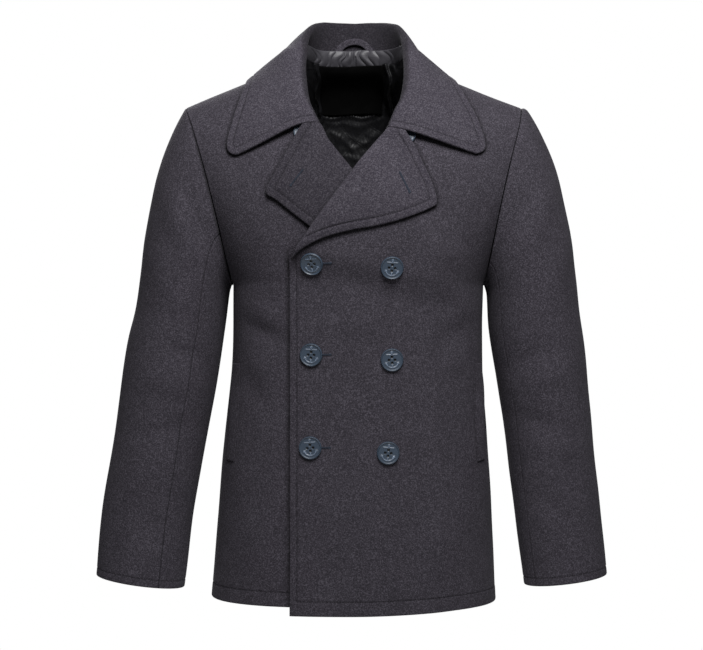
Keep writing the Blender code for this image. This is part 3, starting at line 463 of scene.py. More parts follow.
def buttonMaterial():
    # the painted light is proud times an uneven noise, and runs from painted shade in the holes to painted
    # highlight on the raised edges
    look = buttonLook
    material, tree, shader = newMaterial("mouldedPolyester", Roughness=0.46, IOR=1.5)
    where = objectPlace(tree)
    uneven = maths(tree, "ADD", 0.45, times(tree, noise(tree, where, look["rub"]), 0.7))
    # painted shade in the holes at 0, painted highlight on the raised rim and anchor at the top
    colour = ramped(tree, times(tree, field(tree, "proud"), uneven), (0.0, look["floor"]),
                    (0.85, look["worn"]), (0.12, look["base"]), (0.42, look["base"]))
    tree.links.new(colour, shader.inputs["Base Color"])
    relieve(tree, shader, 0.15, look["scratch"], noise(tree, where, look["grain"]))
    return material


# polyester thread, worked close together round a buttonhole, with the slit between its two sides painted near
# black as shade
threadLook = {"base": "#2b313d", "slit": "#010101", "slitHalf": 0.00032, "thread": 0.0009, "high": 0.0003}


def threadMaterial():
    look = threadLook
    material, tree, shader = newMaterial("polyesterThread", Roughness=0.75, Specular_IOR_Level=0.2)
    axes = add(tree, "ShaderNodeSeparateXYZ", None, Vector=clothPlace(tree))
    # the slit: painted shade down the middle of the strip
    slit = bell(tree, axes.outputs[1], look["slitHalf"])
    colour = ramped(tree, slit, (0.0, look["base"]), (1.0, look["slit"]))
    tree.links.new(colour, shader.inputs["Base Color"])
    wrap = maths(tree, "SINE", times(tree, axes.outputs[0], 2 * pi / look["thread"]))
    relieve(tree, shader, 0.6, look["high"], wrap)
    return material


melton = meltonMaterial("meltonWool", meltonLook["cloth"])
litMelton = meltonMaterial("turnedMeltonWool", meltonLook["turned"])      # a paler copy of the wool: painted light on the collar and lapels
lining = satinMaterial("quiltedLining", satinLook["lining"], 0.52, 0.17, 0.9, True)
plainLining = satinMaterial("sleeveLining", satinLook["lining"], 0.50, 0.30, 0.4, False)
bandSatin = satinMaterial("gatheredSatin", satinLook["band"], 0.50, 0.30, 0.4, False)
labelCloth = labelMaterial()
polyester = buttonMaterial()
thread = threadMaterial()
print("materials made")


# meshes

def newObject(name, vertices, faces, looks, faceLook=None, uv=None, **values):
    # mesh from arrays; uv is a pair per vertex and each value one number per vertex
    mesh = bpy.data.meshes.new(name)
    mesh.from_pydata(vertices.tolist(), [], faces if isinstance(faces, list) else faces.tolist())
    for look in looks:
        mesh.materials.append(look)
    if faceLook is not None:
        mesh.polygons.foreach_set("material_index", np.asarray(faceLook, np.int32))
    if uv is not None:
        corner = np.empty(len(mesh.loops), np.int32)
        mesh.loops.foreach_get("vertex_index", corner)
        mesh.uv_layers.new(name="cloth").data.foreach_set("uv", uv[corner].ravel().astype(np.float32))
    for key, value in values.items():
        field = mesh.attributes.new(key, "FLOAT", "POINT")
        field.data.foreach_set("value", np.asarray(value, np.float32).ravel())
    shape = bmesh.new()
    shape.from_mesh(mesh)
    bmesh.ops.remove_doubles(shape, verts=shape.verts, dist=1e-7)
    bmesh.ops.recalc_face_normals(shape, faces=shape.faces)
    shape.to_mesh(mesh)
    shape.free()
    mesh.shade_smooth()
    thing = bpy.data.objects.new(name + "_shown", mesh)
    bpy.context.scene.collection.objects.link(thing)
    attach(thing, "root")
    return thing


def rounding(distance, radius):
    # quarter circle: 0 at an edge and 1 from a radius on
    return np.sqrt(np.clip(1 - (1 - np.clip(distance / radius, 0, 1))**2, 0, 1))


seamWidth = 0.0013     # a line of sewing draws the cloth in this far to each side


def ringFaces(rows, columns):
    # quads of a grid whose columns run round and meet
    i, j = np.meshgrid(np.arange(rows - 1), np.arange(columns), indexing="ij")
    after = (j + 1) % columns
    return np.stack([i * columns + j, (i + 1) * columns + j, (i + 1) * columns + after, i * columns + after],
                    -1).reshape(-1, 4)


def closedWall(name, middle, normal, thick, full, looks, inside=None, stitch=(), uv=None, relief=None,
               valley=0.0007, reliefIn=None, deep=None):
    # two skins at half the thickness from the middle surface, closed along the grid's border;
    # full is 0 at the border and 1 inside, stitch lists (distance, run) of each line of sewing with
    # distance above 0 on its inner side so that lines meet in corners,
    # relief moves the outer skin, reliefIn the inner one, inside tells each inner face's look
    rows, columns = middle.shape[:2]
    full = full.copy()
    full[[0, -1], :] = 0
    full[:, [0, -1]] = 0
    away, run = np.ones((rows, columns)), np.zeros((rows, columns))
    for distance, place in stitch:
        away, run = np.where(distance < away, distance, away), np.where(distance < away, place, run)
    up = thick / 2 * full - valley * bump(away / seamWidth) * full
    if relief is not None:
        up = up + relief * full
    down = thick / 2 * full + (0 if reliefIn is None else reliefIn * full)
    outer = middle + normal * up[..., None]
    inner = middle - normal * down[..., None]
    index = np.arange(rows * columns).reshape(rows, columns)
    second = index.copy()
    second[1:-1, 1:-1] = rows * columns + np.arange((rows - 2) * (columns - 2)).reshape(rows - 2, -1)
    quads = [np.stack([k[:-1, :-1], k[1:, :-1], k[1:, 1:], k[:-1, 1:]], -1).reshape(-1, 4)
             for k in (index, second)]
    faces = np.concatenate([quads[0], quads[1][:, ::-1]])
    look = np.zeros(len(faces), int)
    if len(looks) > 1:
        look[len(quads[0]):] = 1 if inside is None else inside[:-1, :-1].ravel()
    flat = uv if uv is not None else np.stack([steps(middle, 1), steps(middle, 0)], -1)
    core = (slice(1, -1), slice(1, -1))
    deep = np.zeros((rows, columns)) if deep is None else deep
    return newObject(
        name, np.concatenate([outer.reshape(-1, 3), inner[core].reshape(-1, 3)]), faces, looks, look,
        np.concatenate([flat.reshape(-1, 2), flat[core].reshape(-1, 2)]),
        seam=np.concatenate([away.ravel(), np.ones((rows - 2) * (columns - 2))]),
        run=np.concatenate([run.ravel(), np.zeros((rows - 2) * (columns - 2))]),
        deep=np.concatenate([deep.ravel(), deep[core].ravel()])), outer


def gridFull(points, start, end, first, last):
    # product of the roundings at a grid's four borders, from the lengths run along it
    down, across = steps(points, 0), steps(points, 1)
    return (rounding(down, start) * rounding(down[-1:] - down, end)
            * rounding(across, first) * rounding(across[:, -1:] - across, last))


# how much a crease is deepened, its height at the ends and from which turn away it fades
creaseLook = {"gain": 1.45, "ends": 0.30, "from": 0.35, "over": 0.6}


def creases(points, normals, rows):
    # soft troughs and ridges: a bell round a line seen from the front, highest at its middle;
    # each row is x, z of its two ends, width, height and which way it faces
    look, total = creaseLook, np.zeros(points.shape[:-1])
    for x0, z0, x1, z1, width, height, facing in rows:
        dx, dz = x1 - x0, z1 - z0
        px, pz = points[..., 0] - x0, points[..., 2] - z0
        t = np.clip((px * dx + pz * dz) / (dx * dx + dz * dz), 0, 1)
        away = np.hypot(px - t * dx, pz - t * dz)
        swell = look["ends"] + (1 - look["ends"]) * np.sin(pi * t)
        shown = smooth((facing * -normals[..., 1] + look["from"]) / look["over"])
        total += look["gain"] * height * bump(away / width) * swell * shown
    return total


def ripple(points, height):
    # uneven slackness of the whole cloth, as a sum of long waves with no common length
    x, y, z = (points[..., k] for k in range(3))
    return height * (np.sin(31 * x + 9 * z + 1.3) * np.sin(17 * z - 8 * x + 11 * y)
                     + 0.6 * np.sin(57 * x - 23 * z + 14 * y + 0.4) * np.sin(41 * z + 13 * x))


def creased(points, way, rows, slack):
    # the cloth moved along its normals by its creases and its slackness, and its new normals
    normal = gridNormals(points, way)
    points = points + normal * (creases(points, normal, rows) + ripple(points, slack))[..., None]
    return points, gridNormals(points, way)


def levelFrom(p):
    # rows below the underarm in metres, and above it 1 - (1 - p)^2 so that they pass the shoulder evenly
    return np.where(p < 0, p, 1 - (1 - np.clip(p, 0, 1))**2)


def evenly(pathOf, low, high, step, *close):
    # values that space a path evenly, closer at its ends and round each distance in close
    t = np.linspace(low, high, 3000)
    run = steps(pathOf(t), 0)
    return np.interp(marks(run[-1], step, *close) * run[-1], run, t)


def spacedRows(pointsOf, rows, shares):
    # each row's shares of its own length, found on a finer grid of the same surface
    t = np.broadcast_to(1 - (1 - np.linspace(0, 1, 700))**2.5, (rows, 700))
    run = steps(pointsOf(t), 1)
    return np.array([np.interp(shares * r[-1], r, s) for r, s in zip(run, t)])


surfaces = {}      # outer skin and normals of the pieces that others lie on

def linedPanel(name, points, normal, look, lines, deep, facing=None, valley=0.0007):
    # a wall of cloth under a grid of points, lined inside, that other pieces can lie on
    middle = points - normal * cloth["wall"] / 2
    thing, outer = closedWall(name, middle, normal, cloth["wall"], gridFull(points, *look["round"]),
                              [melton, plainLining], facing, lines, valley=valley, deep=deep)
    surfaces[name] = (outer, normal)
    return thing


# fronts: hem, front edge, neckline, armhole and side seam; creases are as seen, x z x z width height facing

frontLook = {
    "hem": {1: -0.7185, -1: -0.7070}, "hemRise": 0.0060, "hemRiseX": 0.200,
    "stepX": 0.0040, "stepZ": 0.0042, "hemLine": 0.0195, "edgeLine": 0.0102,
    "facing": 0.085, "slack": 0.0005, "widest": 0.31, "round": (0.0022, 0.0014, 0.0022, 0.0014),
    "mouthDark": {1: 0.85, -1: 0.35},
    "mouth": [(0.1772, -0.4000, 0.1775, -0.4350, 0.0028), (0.1775, -0.4350, 0.1800, -0.4680, 0.0024)],
    "creases": [
        (-0.152, -0.325, -0.094, -0.352, 0.011, -0.0022, 1),
        (-0.148, -0.300, -0.100, -0.322, 0.014, 0.0016, 1),
        (-0.150, -0.360, -0.112, -0.405, 0.016, 0.0015, 1),
        (-0.158, -0.395, -0.120, -0.440, 0.014, -0.0012, 1),
        (0.158, -0.330, 0.112, -0.352, 0.013, -0.0017, 1),
        (0.160, -0.300, 0.120, -0.318, 0.013, 0.0013, 1),
        (0.150, -0.372, 0.120, -0.392, 0.013, 0.0012, 1),
        (0.130, -0.560, 0.108, -0.690, 0.026, 0.0022, 1),
        (0.085, -0.530, 0.072, -0.700, 0.022, -0.0018, 1),
        (-0.135, -0.560, -0.120, -0.690, 0.026, 0.0020, 1),
        (-0.100, -0.600, -0.104, -0.700, 0.018, -0.0014, 1),
        (0.020, -0.560, 0.012, -0.700, 0.028, 0.0016, 1),
        (-0.030, -0.590, -0.034, -0.705, 0.020, -0.0012, 1),
        (0.012, -0.300, 0.000, -0.345, 0.022, 0.0012, 1),
        (-0.020, -0.405, 0.022, -0.440, 0.020, -0.0012, 1),
    ],
}


def frontPanel(name, side):
    # level rows on the body form from the hem to the shoulder line, each from the front edge to the side
    look = frontLook
    low = look["hem"][side] - b["underarm"]
    typical = lambda t: bodyPoint(0.125 + 0 * t, levelFrom(t), -1)
    level = levelFrom(evenly(typical, low, 1, look["stepZ"], look["hemLine"]))[:, None]
    start = innerEdge(level, side)
    edge = oval(level, -1)[0]
    surface = lambda s: bodyPoint(start + (edge - start) * s, level, -1)
    shares = spacedRows(surface, len(level), marks(look["widest"], look["stepX"], look["edgeLine"]))
    points = surface(shares)
    if side > 0:
        points[..., 2] += (look["hemRise"] * smooth(points[..., 0] / look["hemRiseX"])
                           * smooth((look["hem"][1] + 0.030 - points[..., 2]) / 0.012))
    normal = gridNormals(points, (0, -1, 0))
    normal[level[:, 0] <= 0, -1, 1] = 0
    normal[-1, :, 1] = 0
    normal = unit(normal)
    if side > 0:
        points = points + normal * overlapLift(points[..., 0], points[..., 2])[..., None]
    points = placed(points, side)
    points, normal = creased(points, (0, -1, 0), look["creases"], look["slack"])
    down, across = steps(points, 0), steps(points, 1)
    lines = [(down - look["hemLine"], across)]
    if side > 0:
        lines.append((across - look["edgeLine"], down))
    facing = (across > look["facing"]).astype(int)
    deep = np.maximum(paintedSeamShade(points), paintedEdgeShade(points, "collar", name.replace("front", "lapel")))
    own = side * (points[..., 0] - sway(points[..., 2]))
    # painted shade of the pocket's mouth beside the welt, darker on the left front
    for row in look["mouth"]:
        deep = np.maximum(deep, look["mouthDark"][side] * stroke(own, points[..., 2], *row))
    if side > 0:
        edgePaths[name] = points[:, 0]
    else:
        deep = np.maximum(deep, paintedEdgeShade(points, "lapel_left_roll", "front_left"))
    return linedPanel(name, points, normal, look, lines, deep, facing)


# back: two halves with a middle seam, rows scaled up to the neckline; creases as for the fronts

backLook = {
    "hem": -0.7110, "stepX": 0.0042, "stepZ": 0.0044, "hemLine": 0.0195, "trim": 0.0145, "trimRamp": 0.020,
    "slack": 0.0006, "widest": 0.25, "round": (0.0022, 0.0014, 0.0014, 0.0014),
    "creases": [
        (-0.030, -0.330, -0.120, -0.310, 0.016, -0.0020, -1),
        (0.012, -0.345, 0.110, -0.318, 0.017, -0.0022, -1),
        (-0.020, -0.375, -0.105, -0.365, 0.014, 0.0014, -1),
        (0.020, -0.395, 0.120, -0.372, 0.015, 0.0016, -1),
        (0.125, -0.150, 0.150, -0.255, 0.016, 0.0026, -1),
        (-0.125, -0.150, -0.148, -0.250, 0.016, 0.0022, -1),
        (0.100, -0.140, 0.118, -0.240, 0.014, -0.0014, -1),
        (-0.098, -0.150, -0.118, -0.236, 0.014, -0.0012, -1),
        (0.060, -0.520, 0.078, -0.700, 0.026, 0.0028, -1),
        (-0.050, -0.500, -0.080, -0.700, 0.028, 0.0024, -1),
        (0.115, -0.560, 0.130, -0.700, 0.024, -0.0020, -1),
        (-0.118, -0.580, -0.135, -0.700, 0.022, -0.0018, -1),
        (0.004, -0.020, -0.040, -0.060, 0.018, -0.0012, -1),
        (0.030, 0.010, 0.075, -0.010, 0.014, -0.0010, -1),
    ],
}


def neckLevel(x):
    # level of the back neckline: an oval as seen from above
    y = b["napeBack"] * np.sqrt(np.maximum(1 - (x / b["neck"][0])**2, 0))
    return (1 - (y / b["back"][-1])**2)**0.25


def backPanel(name, side):
    # level rows scaled to the neckline over each x, from the middle seam to the side
    look = backLook
    typical = lambda t: bodyPoint(0.125 + 0 * t, levelFrom(t), 1)
    low = look["hem"] - b["underarm"]
    level = levelFrom(evenly(typical, low, 1, look["stepZ"], look["hemLine"]))[:, None]

    def surface(s):
        near = np.minimum(s * b["shoulder"], b["neck"][0])
        top = neckLevel(near) - look["trim"] * smooth((b["neck"][0] - near) / look["trimRamp"])
        own = np.where(level > 0, level * top, level)
        return bodyPoint(s * oval(own, 1)[0], own, 1)

    shares = spacedRows(surface, len(level), marks(look["widest"], look["stepX"]))
    points = creased(placed(surface(shares), side), (0, 1, 0), look["creases"], look["slack"])[0]
    points[:, 0, 0] = sway(points[:, 0, 2])
    lines = [(steps(points, 0) - look["hemLine"], steps(points, 1))]
    deep = np.maximum(paintedSeamShade(points), paintedEdgeShade(points, "collar"))
    return linedPanel(name, points, gridNormals(points, (0, 1, 0)), look, lines, deep)


# sleeves: rings of inner x z, outer x z, front and back depth, middle y; creases as for the fronts

sleeveLook = {
    "rings": {
        1: [(0.1838, -0.2712, 0.2420, -0.0210, 0.085, 0.091, 0.000),
            (0.1842, -0.2722, 0.2530, -0.0370, 0.086, 0.092, 0.000),
            (0.1846, -0.2733, 0.2710, -0.0720, 0.087, 0.092, 0.001),
            (0.1850, -0.2745, 0.2870, -0.1150, 0.087, 0.091, 0.001),
            (0.1855, -0.2760, 0.2975, -0.1610, 0.086, 0.090, 0.001),
            (0.1862, -0.2785, 0.3060, -0.2060, 0.085, 0.088, 0.001),
            (0.1872, -0.2850, 0.3120, -0.2520, 0.083, 0.085, 0.000),
            (0.1896, -0.3270, 0.3181, -0.3057, 0.079, 0.080, -0.001),
            (0.1950, -0.3660, 0.3240, -0.3500, 0.076, 0.077, -0.003),
            (0.2080, -0.4505, 0.3309, -0.4335, 0.069, 0.070, -0.006),
            (0.2180, -0.5343, 0.3380, -0.5187, 0.062, 0.063, -0.013),
            (0.2258, -0.5982, 0.3451, -0.5826, 0.058, 0.058, -0.019),
            (0.2370, -0.6905, 0.3533, -0.6750, 0.053, 0.053, -0.028)],
        -1: [(0.1755, -0.2712, 0.2405, -0.0210, 0.085, 0.091, 0.000),
             (0.1758, -0.2722, 0.2510, -0.0390, 0.086, 0.092, 0.000),
             (0.1761, -0.2733, 0.2660, -0.0720, 0.087, 0.092, 0.001),
             (0.1765, -0.2745, 0.2800, -0.1150, 0.087, 0.091, 0.001),
             (0.1770, -0.2760, 0.2900, -0.1610, 0.086, 0.090, 0.001),
             (0.1777, -0.2790, 0.2980, -0.2060, 0.085, 0.088, 0.001),
             (0.1790, -0.2880, 0.3040, -0.2520, 0.083, 0.085, 0.000),
             (0.1839, -0.3310, 0.3110, -0.3057, 0.079, 0.080, -0.001),
             (0.1890, -0.3710, 0.3210, -0.3480, 0.076, 0.077, -0.003),
             (0.2045, -0.4560, 0.3337, -0.4335, 0.069, 0.070, -0.006),
             (0.2194, -0.5430, 0.3451, -0.5187, 0.063, 0.063, -0.013),
             (0.2293, -0.6067, 0.3550, -0.5826, 0.058, 0.058, -0.019),
             (0.2395, -0.6940, 0.3630, -0.6765, 0.054, 0.054, -0.028)],
    },
    "frontSeam": {1: 0.215 * pi, -1: 0.335 * pi}, "backSeam": 0.333 * pi, "gap": 0.0005,
    "stepRound": 0.0042, "stepDown": 0.0044, "cuffLine": 0.0110,
    "slack": 0.0006, "round": (0.0020, 0.0022, 0.0022, 0.0022), "sewn": (0.0024, 0.62),
    "valley": 0.0005,
    "creases": [
        (0.215, -0.385, 0.275, -0.355, 0.013, -0.0026, 1),
        (0.228, -0.415, 0.300, -0.388, 0.014, 0.0018, 1),
        (0.222, -0.452, 0.285, -0.470, 0.013, -0.0024, 1),
        (0.240, -0.490, 0.310, -0.500, 0.015, 0.0016, 1),
        (0.245, -0.560, 0.300, -0.600, 0.016, -0.0016, 1),
        (0.262, -0.150, 0.222, -0.262, 0.016, 0.0022, 1),
        (0.240, -0.130, 0.205, -0.230, 0.012, -0.0018, 1),
        (0.300, -0.200, 0.262, -0.300, 0.018, 0.0016, 1),
        (-0.210, -0.380, -0.262, -0.350, 0.013, -0.0024, 1),
        (-0.222, -0.420, -0.292, -0.395, 0.014, 0.0020, 1),
        (-0.226, -0.462, -0.290, -0.478, 0.014, -0.0022, 1),
        (-0.250, -0.520, -0.315, -0.545, 0.016, 0.0014, 1),
        (-0.252, -0.590, -0.306, -0.615, 0.015, -0.0014, 1),
        (-0.258, -0.140, -0.216, -0.255, 0.016, 0.0022, 1),
        (-0.236, -0.130, -0.200, -0.225, 0.012, -0.0016, 1),
        (-0.288, -0.215, -0.252, -0.300, 0.018, 0.0014, 1),
        (0.230, -0.330, 0.300, -0.372, 0.016, -0.0024, -1),
        (0.250, -0.300, 0.305, -0.330, 0.015, 0.0020, -1),
        (0.240, -0.430, 0.310, -0.440, 0.014, -0.0020, -1),
        (0.250, -0.520, 0.320, -0.560, 0.018, 0.0016, -1),
        (-0.225, -0.340, -0.292, -0.380, 0.016, -0.0022, -1),
        (-0.245, -0.305, -0.300, -0.340, 0.015, 0.0018, -1),
        (-0.240, -0.440, -0.315, -0.452, 0.014, -0.0018, -1),
        (-0.255, -0.540, -0.325, -0.580, 0.018, 0.0014, -1),
        (0.235, -0.110, 0.215, -0.230, 0.015, 0.0020, -1),
        (-0.232, -0.110, -0.210, -0.230, 0.015, 0.0018, -1),
    ],
}


def sleeveRings(turns, side):
    # the armhole's edge, then an oval for each row of the table; turn 0 is its inner point, + to the front
    look = sleeveLook
    share = (1 - np.cos(turns)) / 2
    edge = oval(share, -1)[0]
    reach = np.where(np.sin(turns) > 0, b["armholeFront"], b["armholeBack"])
    rings = [placed(np.stack([edge + look["gap"], -reach * np.sin(turns), heightAt(edge, share)], -1), side)]
    for x0, z0, x1, z1, front, back, y in look["rings"][side]:
        inner, outer = np.array([side * x0, 0, z0]), np.array([side * x1, 0, z1])
        ring = (inner + outer) / 2 + np.cos(turns)[:, None] * (inner - outer) / 2
        ring[:, 1] = y - np.sin(turns) * np.where(np.sin(turns) > 0, front, back)
        rings.append(ring)
    return np.array(rings)


def sleevePiece(name, side, low, high):
    # the rings' cubic run from the armhole to the cuff, between the angles of two seams
    look = sleeveLook
    wide = sleeveRings(np.linspace(0, 2 * pi, 60), side)
    keys = steps(wide, 0).mean(1)
    turns = evenly(lambda t: sleeveRings(t, side)[8], low, high, look["stepRound"])
    down = evenly(lambda t: curve(keys, sleeveRings(np.array([pi]), side), t)[:, 0], 0, keys[-1],
                  look["stepDown"])
    length = keys[-1]
    near = length - look["cuffLine"] + np.array([-0.002, -0.001, 0, 0.001, 0.002])
    down = np.unique(np.round(np.concatenate([down, near]), 5))
    points = curve(keys, sleeveRings(turns, side), down)
    half = len(down) // 2
    way = points[half, len(turns) // 2] - curve(keys, wide, down[half:half + 1])[0].mean(0)
    points, normal = creased(points, way, look["creases"], look["slack"])
    run = steps(points, 0)
    lines = [(run[-1:] - run - look["cuffLine"], steps(points, 1))]
    return linedPanel(name, points, normal, look, lines, paintedSeamShade(points, *look["sewn"]),
                      valley=look["valley"])


def insideBack(x, level, depth):
    # point a depth inside the back of the form
    q = -np.sqrt(1 - level)
    return form(x, q) - formNormal(x, q)[0] * np.asarray(depth)[..., None]


def dropLevel(x, drop):
    # level of the back that lies a drop below its neckline
    top = neckLevel(np.minimum(np.abs(x), b["neck"][0]))
    return top - drop / (ridge(x, b["napeRise"]) - b["underarm"])


# collar and lapels: a stand, a rounded fold and a fall that follows the body form

def folded(foot, roll, out, edge, radius, slack, stand, bends, share, lift=None, skew=1.0):
    # the fall's height over the form runs evenly from the fold's to the edge's, plus slack in its
    # middle and the lift of the panel under it; stand and share are places along stand and fall
    radius = radius[:, None]
    up = unit(roll - out * radius - foot)
    out = unit(out - up * np.sum(out * up, axis=-1, keepdims=True))
    start, first = roll - (out + up) * radius, roll + (out - up) * radius
    guess = lambda p: np.where(p[:, 1] < 0, 0.3, -0.3)
    x0, q0, h0 = toForm(first, np.abs(first[:, 0]), guess(first))
    x1, q1, h1 = toForm(edge, np.abs(edge[:, 0]), guess(edge))
    raised = (lambda x, q: 0 * x) if lift is None else (lambda x, q: lift(x, form(x, q)[..., 2]))
    h0, h1 = h0 - raised(x0, q0), h1 - raised(x1, q1)
    t = share[None, :]
    x = x0[:, None] * (1 - t) + x1[:, None] * t
    q = q0[:, None] * (1 - t) + q1[:, None] * t
    h = h0[:, None] * (1 - t) + h1[:, None] * t + slack[:, None] * np.sin(pi * t**skew) + raised(x, q)
    fall = form(x, q) + formNormal(x, q)[0] * h[..., None]
    stand = foot[:, None] * (1 - stand[:, None]) + start[:, None] * stand[:, None]
    down = unit(fall[:, 1] - fall[:, 0])
    handle = 1.33 * radius
    ends = start, start + up * handle, fall[:, 0] - down * handle, fall[:, 0]
    b0, b1, b2, b3 = (p[:, None] for p in ends)
    s = np.linspace(0, 1, bends + 2)[None, 1:-1, None]
    bend = b0 * (1 - s)**3 + 3 * b1 * s * (1 - s)**2 + 3 * b2 * s**2 * (1 - s) + b3 * s**3
    return np.concatenate([stand, bend, fall], axis=1)


# rounding of the stand's foot, the end rows and the free edge, where that last one starts, and how deep
# the line of sewing draws the cloth in
turnedEdge = {"foot": 0.0016, "ends": 0.0018, "free": 0.0021, "near": 0.004, "valley": 0.0012}


def turnedCloth(name, middle, foldColumn, ends, stitchIn, deep=None):
    # rounded along its free edge, sewn at a stitchIn from it; ends tells if each end row is free
    free = [middle[:, -1]]
    if ends[0]:
        free.insert(0, middle[0, foldColumn:-1])
    if ends[1]:
        free.append(middle[-1, foldColumn:-1][::-1])
    away, place = alongPath(middle[:, foldColumn:], np.concatenate(free))
    distance, run = np.ones(middle.shape[:2]), np.zeros(middle.shape[:2])
    distance[:, foldColumn:], run[:, foldColumn:] = away, place
    normal = gridNormals(middle, (0, 0, 1))
    facing = normal[middle.shape[0] // 2, -6]
    outward = middle[middle.shape[0] // 2, -6] - np.array([0, 0, b["underarm"]])
    normal = normal if facing @ outward > 0 else -normal
    down, across = steps(middle, 0), steps(middle, 1)
    look = turnedEdge
    full = rounding(across, look["foot"]) * rounding(down, look["ends"])
    full = full * rounding(down[-1:] - down, look["ends"])
    full = full * rounding(np.where(distance < look["near"], distance, 1), look["free"])
    thing, outer = closedWall(name, middle, normal, cloth["double"], full, [litMelton], None,
                              [(distance - stitchIn, run)], valley=look["valley"], deep=deep)
    surfaces[name] = (outer[:, foldColumn:], normal[:, foldColumn:])
    surfaces[name + "_stand"] = (outer[:, :foldColumn], normal[:, :foldColumn])
    return thing


collarLook = {
    "radius": 0.0045, "gap": 0.0040, "ease": 0.0006, "slack": 0.002, "skew": 0.42,
    "footDrop": 0.0075, "footDepth": 0.0062,
    "side": {1: (0.004, 0.642, (0.0090, -0.001, -0.0060), 0.0014, 0.615),
             -1: (0.010, 0.655, (0.0034, 0.0, 0.0), 0.0056, 0.622)},
    "steps": 104, "stepAcross": 0.0030, "stitch": 0.0107, "tip": 0.013, "fallPoints": 6,
    "spans": (0.045, 0.085),
    "levels": [0.985, 0.95, 0.89, 0.81, 0.72], "backShares": [0, 0.09, 0.18, 0.27],
    "roll": [(0.00, 0.0000, 0.078, 0.1125), (0.13, 0.0350, 0.070, 0.1125), (0.25, 0.0560, 0.047, 0.1090),
             (0.36, 0.0675, 0.016, 0.0930), (0.46, 0.0700, -0.014, 0.0680), (0.56, 0.0705, -0.043, 0.0440),
             (0.67, 0.0700, -0.072, 0.0170), (0.78, 0.0655, -0.096, -0.0140), (0.89, 0.0555, -0.113, -0.0400),
             (1.00, 0.0405, -0.1215, -0.0595)],
    "edge": [(0.00, 0.000, -0.483), (0.13, 0.045, -0.450), (0.25, 0.092, -0.336), (0.36, 0.127, -0.203),
             (0.46, 0.141, -0.080), (0.56, 0.146, 0.130), (0.67, 0.154, 0.290), (0.78, 0.1655, 0.421),
             (0.90, 0.1755, 0.557), (1.00, 0.170, 0.609)],
}


def collarHalf(side):
    # sections from the middle of the back to the gorge, and cubics through them along both ways;
    # roll rows are place, x, y, z and edge rows place, x, q, and the fall's end is drawn in at the tip;
    # each side has its own fullness, gorge level, shift of the roll's end, bow of the end and tip
    look = collarLook
    fullness, last, shift, bow, tip = look["side"][side]
    backX = b["shoulder"] * np.array(look["backShares"])
    levels = np.array(look["levels"] + [last])
    x = np.concatenate([backX, [b["neck"][0]], innerEdge(levels, side)])
    q = np.concatenate([-np.sqrt(1 - neckLevel(backX)), [0], np.sqrt(1 - levels)])
    place = np.linspace(0, 1, len(x))
    rim = form(x, q)
    n = formNormal(x, q)[0]
    n[0, 0] = 0
    into = unit(np.cross(n, np.gradient(rim, axis=0)))
    into = into * np.sign(into[:, 2:3])
    table = np.array(look["roll"])
    roll = curve(table[:, 0], table[:, 1:], place)
    roll = roll + smooth((place - 0.85) / 0.15)[:, None] * np.array(shift)
    roll[:, 0] += (e["gorgeX"][side] - e["gorgeX"][1]) * smooth((place - 0.7) / 0.3) - side * sway(roll[:, 2])
    radial = unit(roll * np.array([1, 1, 0]) - np.array([0, 0.010, 0]))
    turn = smooth((place - 0.5) / 0.5)[:, None]
    out = unit(radial * (1 - turn) + n * turn)
    foot = rim - n * cloth["wall"] / 2 + unit(into + unit(roll - rim)) * look["gap"]
    tucked = insideBack(x, np.minimum(dropLevel(x, look["footDrop"]), 0.9999), look["footDepth"] + 0 * x)
    behind = (1 - smooth((place - 0.28) / 0.14))[:, None]
    foot = foot * (1 - behind) + tucked * behind
    table = np.array(look["edge"])
    table[-1, 2] = tip
    edgeX, edgeQ = curve(table[:, 0], table[:, 1:], place).T
    edge = form(edgeX, edgeQ) + formNormal(edgeX, edgeQ)[0] * (cloth["double"] / 2 + look["ease"])
    slack = look["slack"] * (1 - smooth((0.2 - place) / 0.2))
    slack = slack + fullness * smooth(1 - np.abs(place - 0.42) / 0.26)
    falls = look["fallPoints"]
    half = folded(foot, roll, out, edge, np.full(len(place), look["radius"]), slack, np.array([0, 1.0]), 3,
                  np.linspace(0, 1, falls), skew=look["skew"])
    t = np.linspace(0, 1, falls)
    half[-1, -falls:, 2] += bow * t * (1 - t)**3 / 0.105
    half = placed(half, side)
    length = steps(half, 0)[-1].max()
    rows = evenly(lambda k: curve(place, half[:, -1], k), 0, 1, length / look["steps"])
    keys = np.concatenate([[0], np.cumsum(np.linalg.norm(np.diff(half, axis=1), axis=-1).mean(0))])
    rows = np.broadcast_to(rows, (len(keys), len(rows)))
    fine = along(place, half.transpose(1, 0, 2), rows).transpose(1, 0, 2)
    fine[0, :, 0] = sway(fine[0, :, 2])
    run = steps(fine[:, -1], 0)
    inset = np.clip(1 - (run[-1] - run) / look["tip"], 0, 1)
    drawn = look["tip"] * (1 - np.sqrt(1 - inset**2))
    first = keys[-falls]
    span = keys[-1] - first
    fall = 1 - marks(look["spans"][1], look["stepAcross"], look["stitch"])[::-1]
    reach = 1 - (drawn / steps(fine[:, -falls:], 1)[:, -1])[:, None]
    standShare = marks(look["spans"][0], 0.0022)[:-4] * first
    at = np.concatenate([standShare + 0 * reach, first + fall * span * reach], axis=1)
    return along(keys, fine, at), len(standShare)


collarEnds = {}     # each half's end row, from its foot, that the lapel of that side is sewn to
edgePaths = {}      # free edges whose painted shade falls on the cloth under them


edgeShadeLook = {"width": 0.0034, "dark": 0.76, "depth": np.array([1, 0.15, 1]), "reach": 0.03}


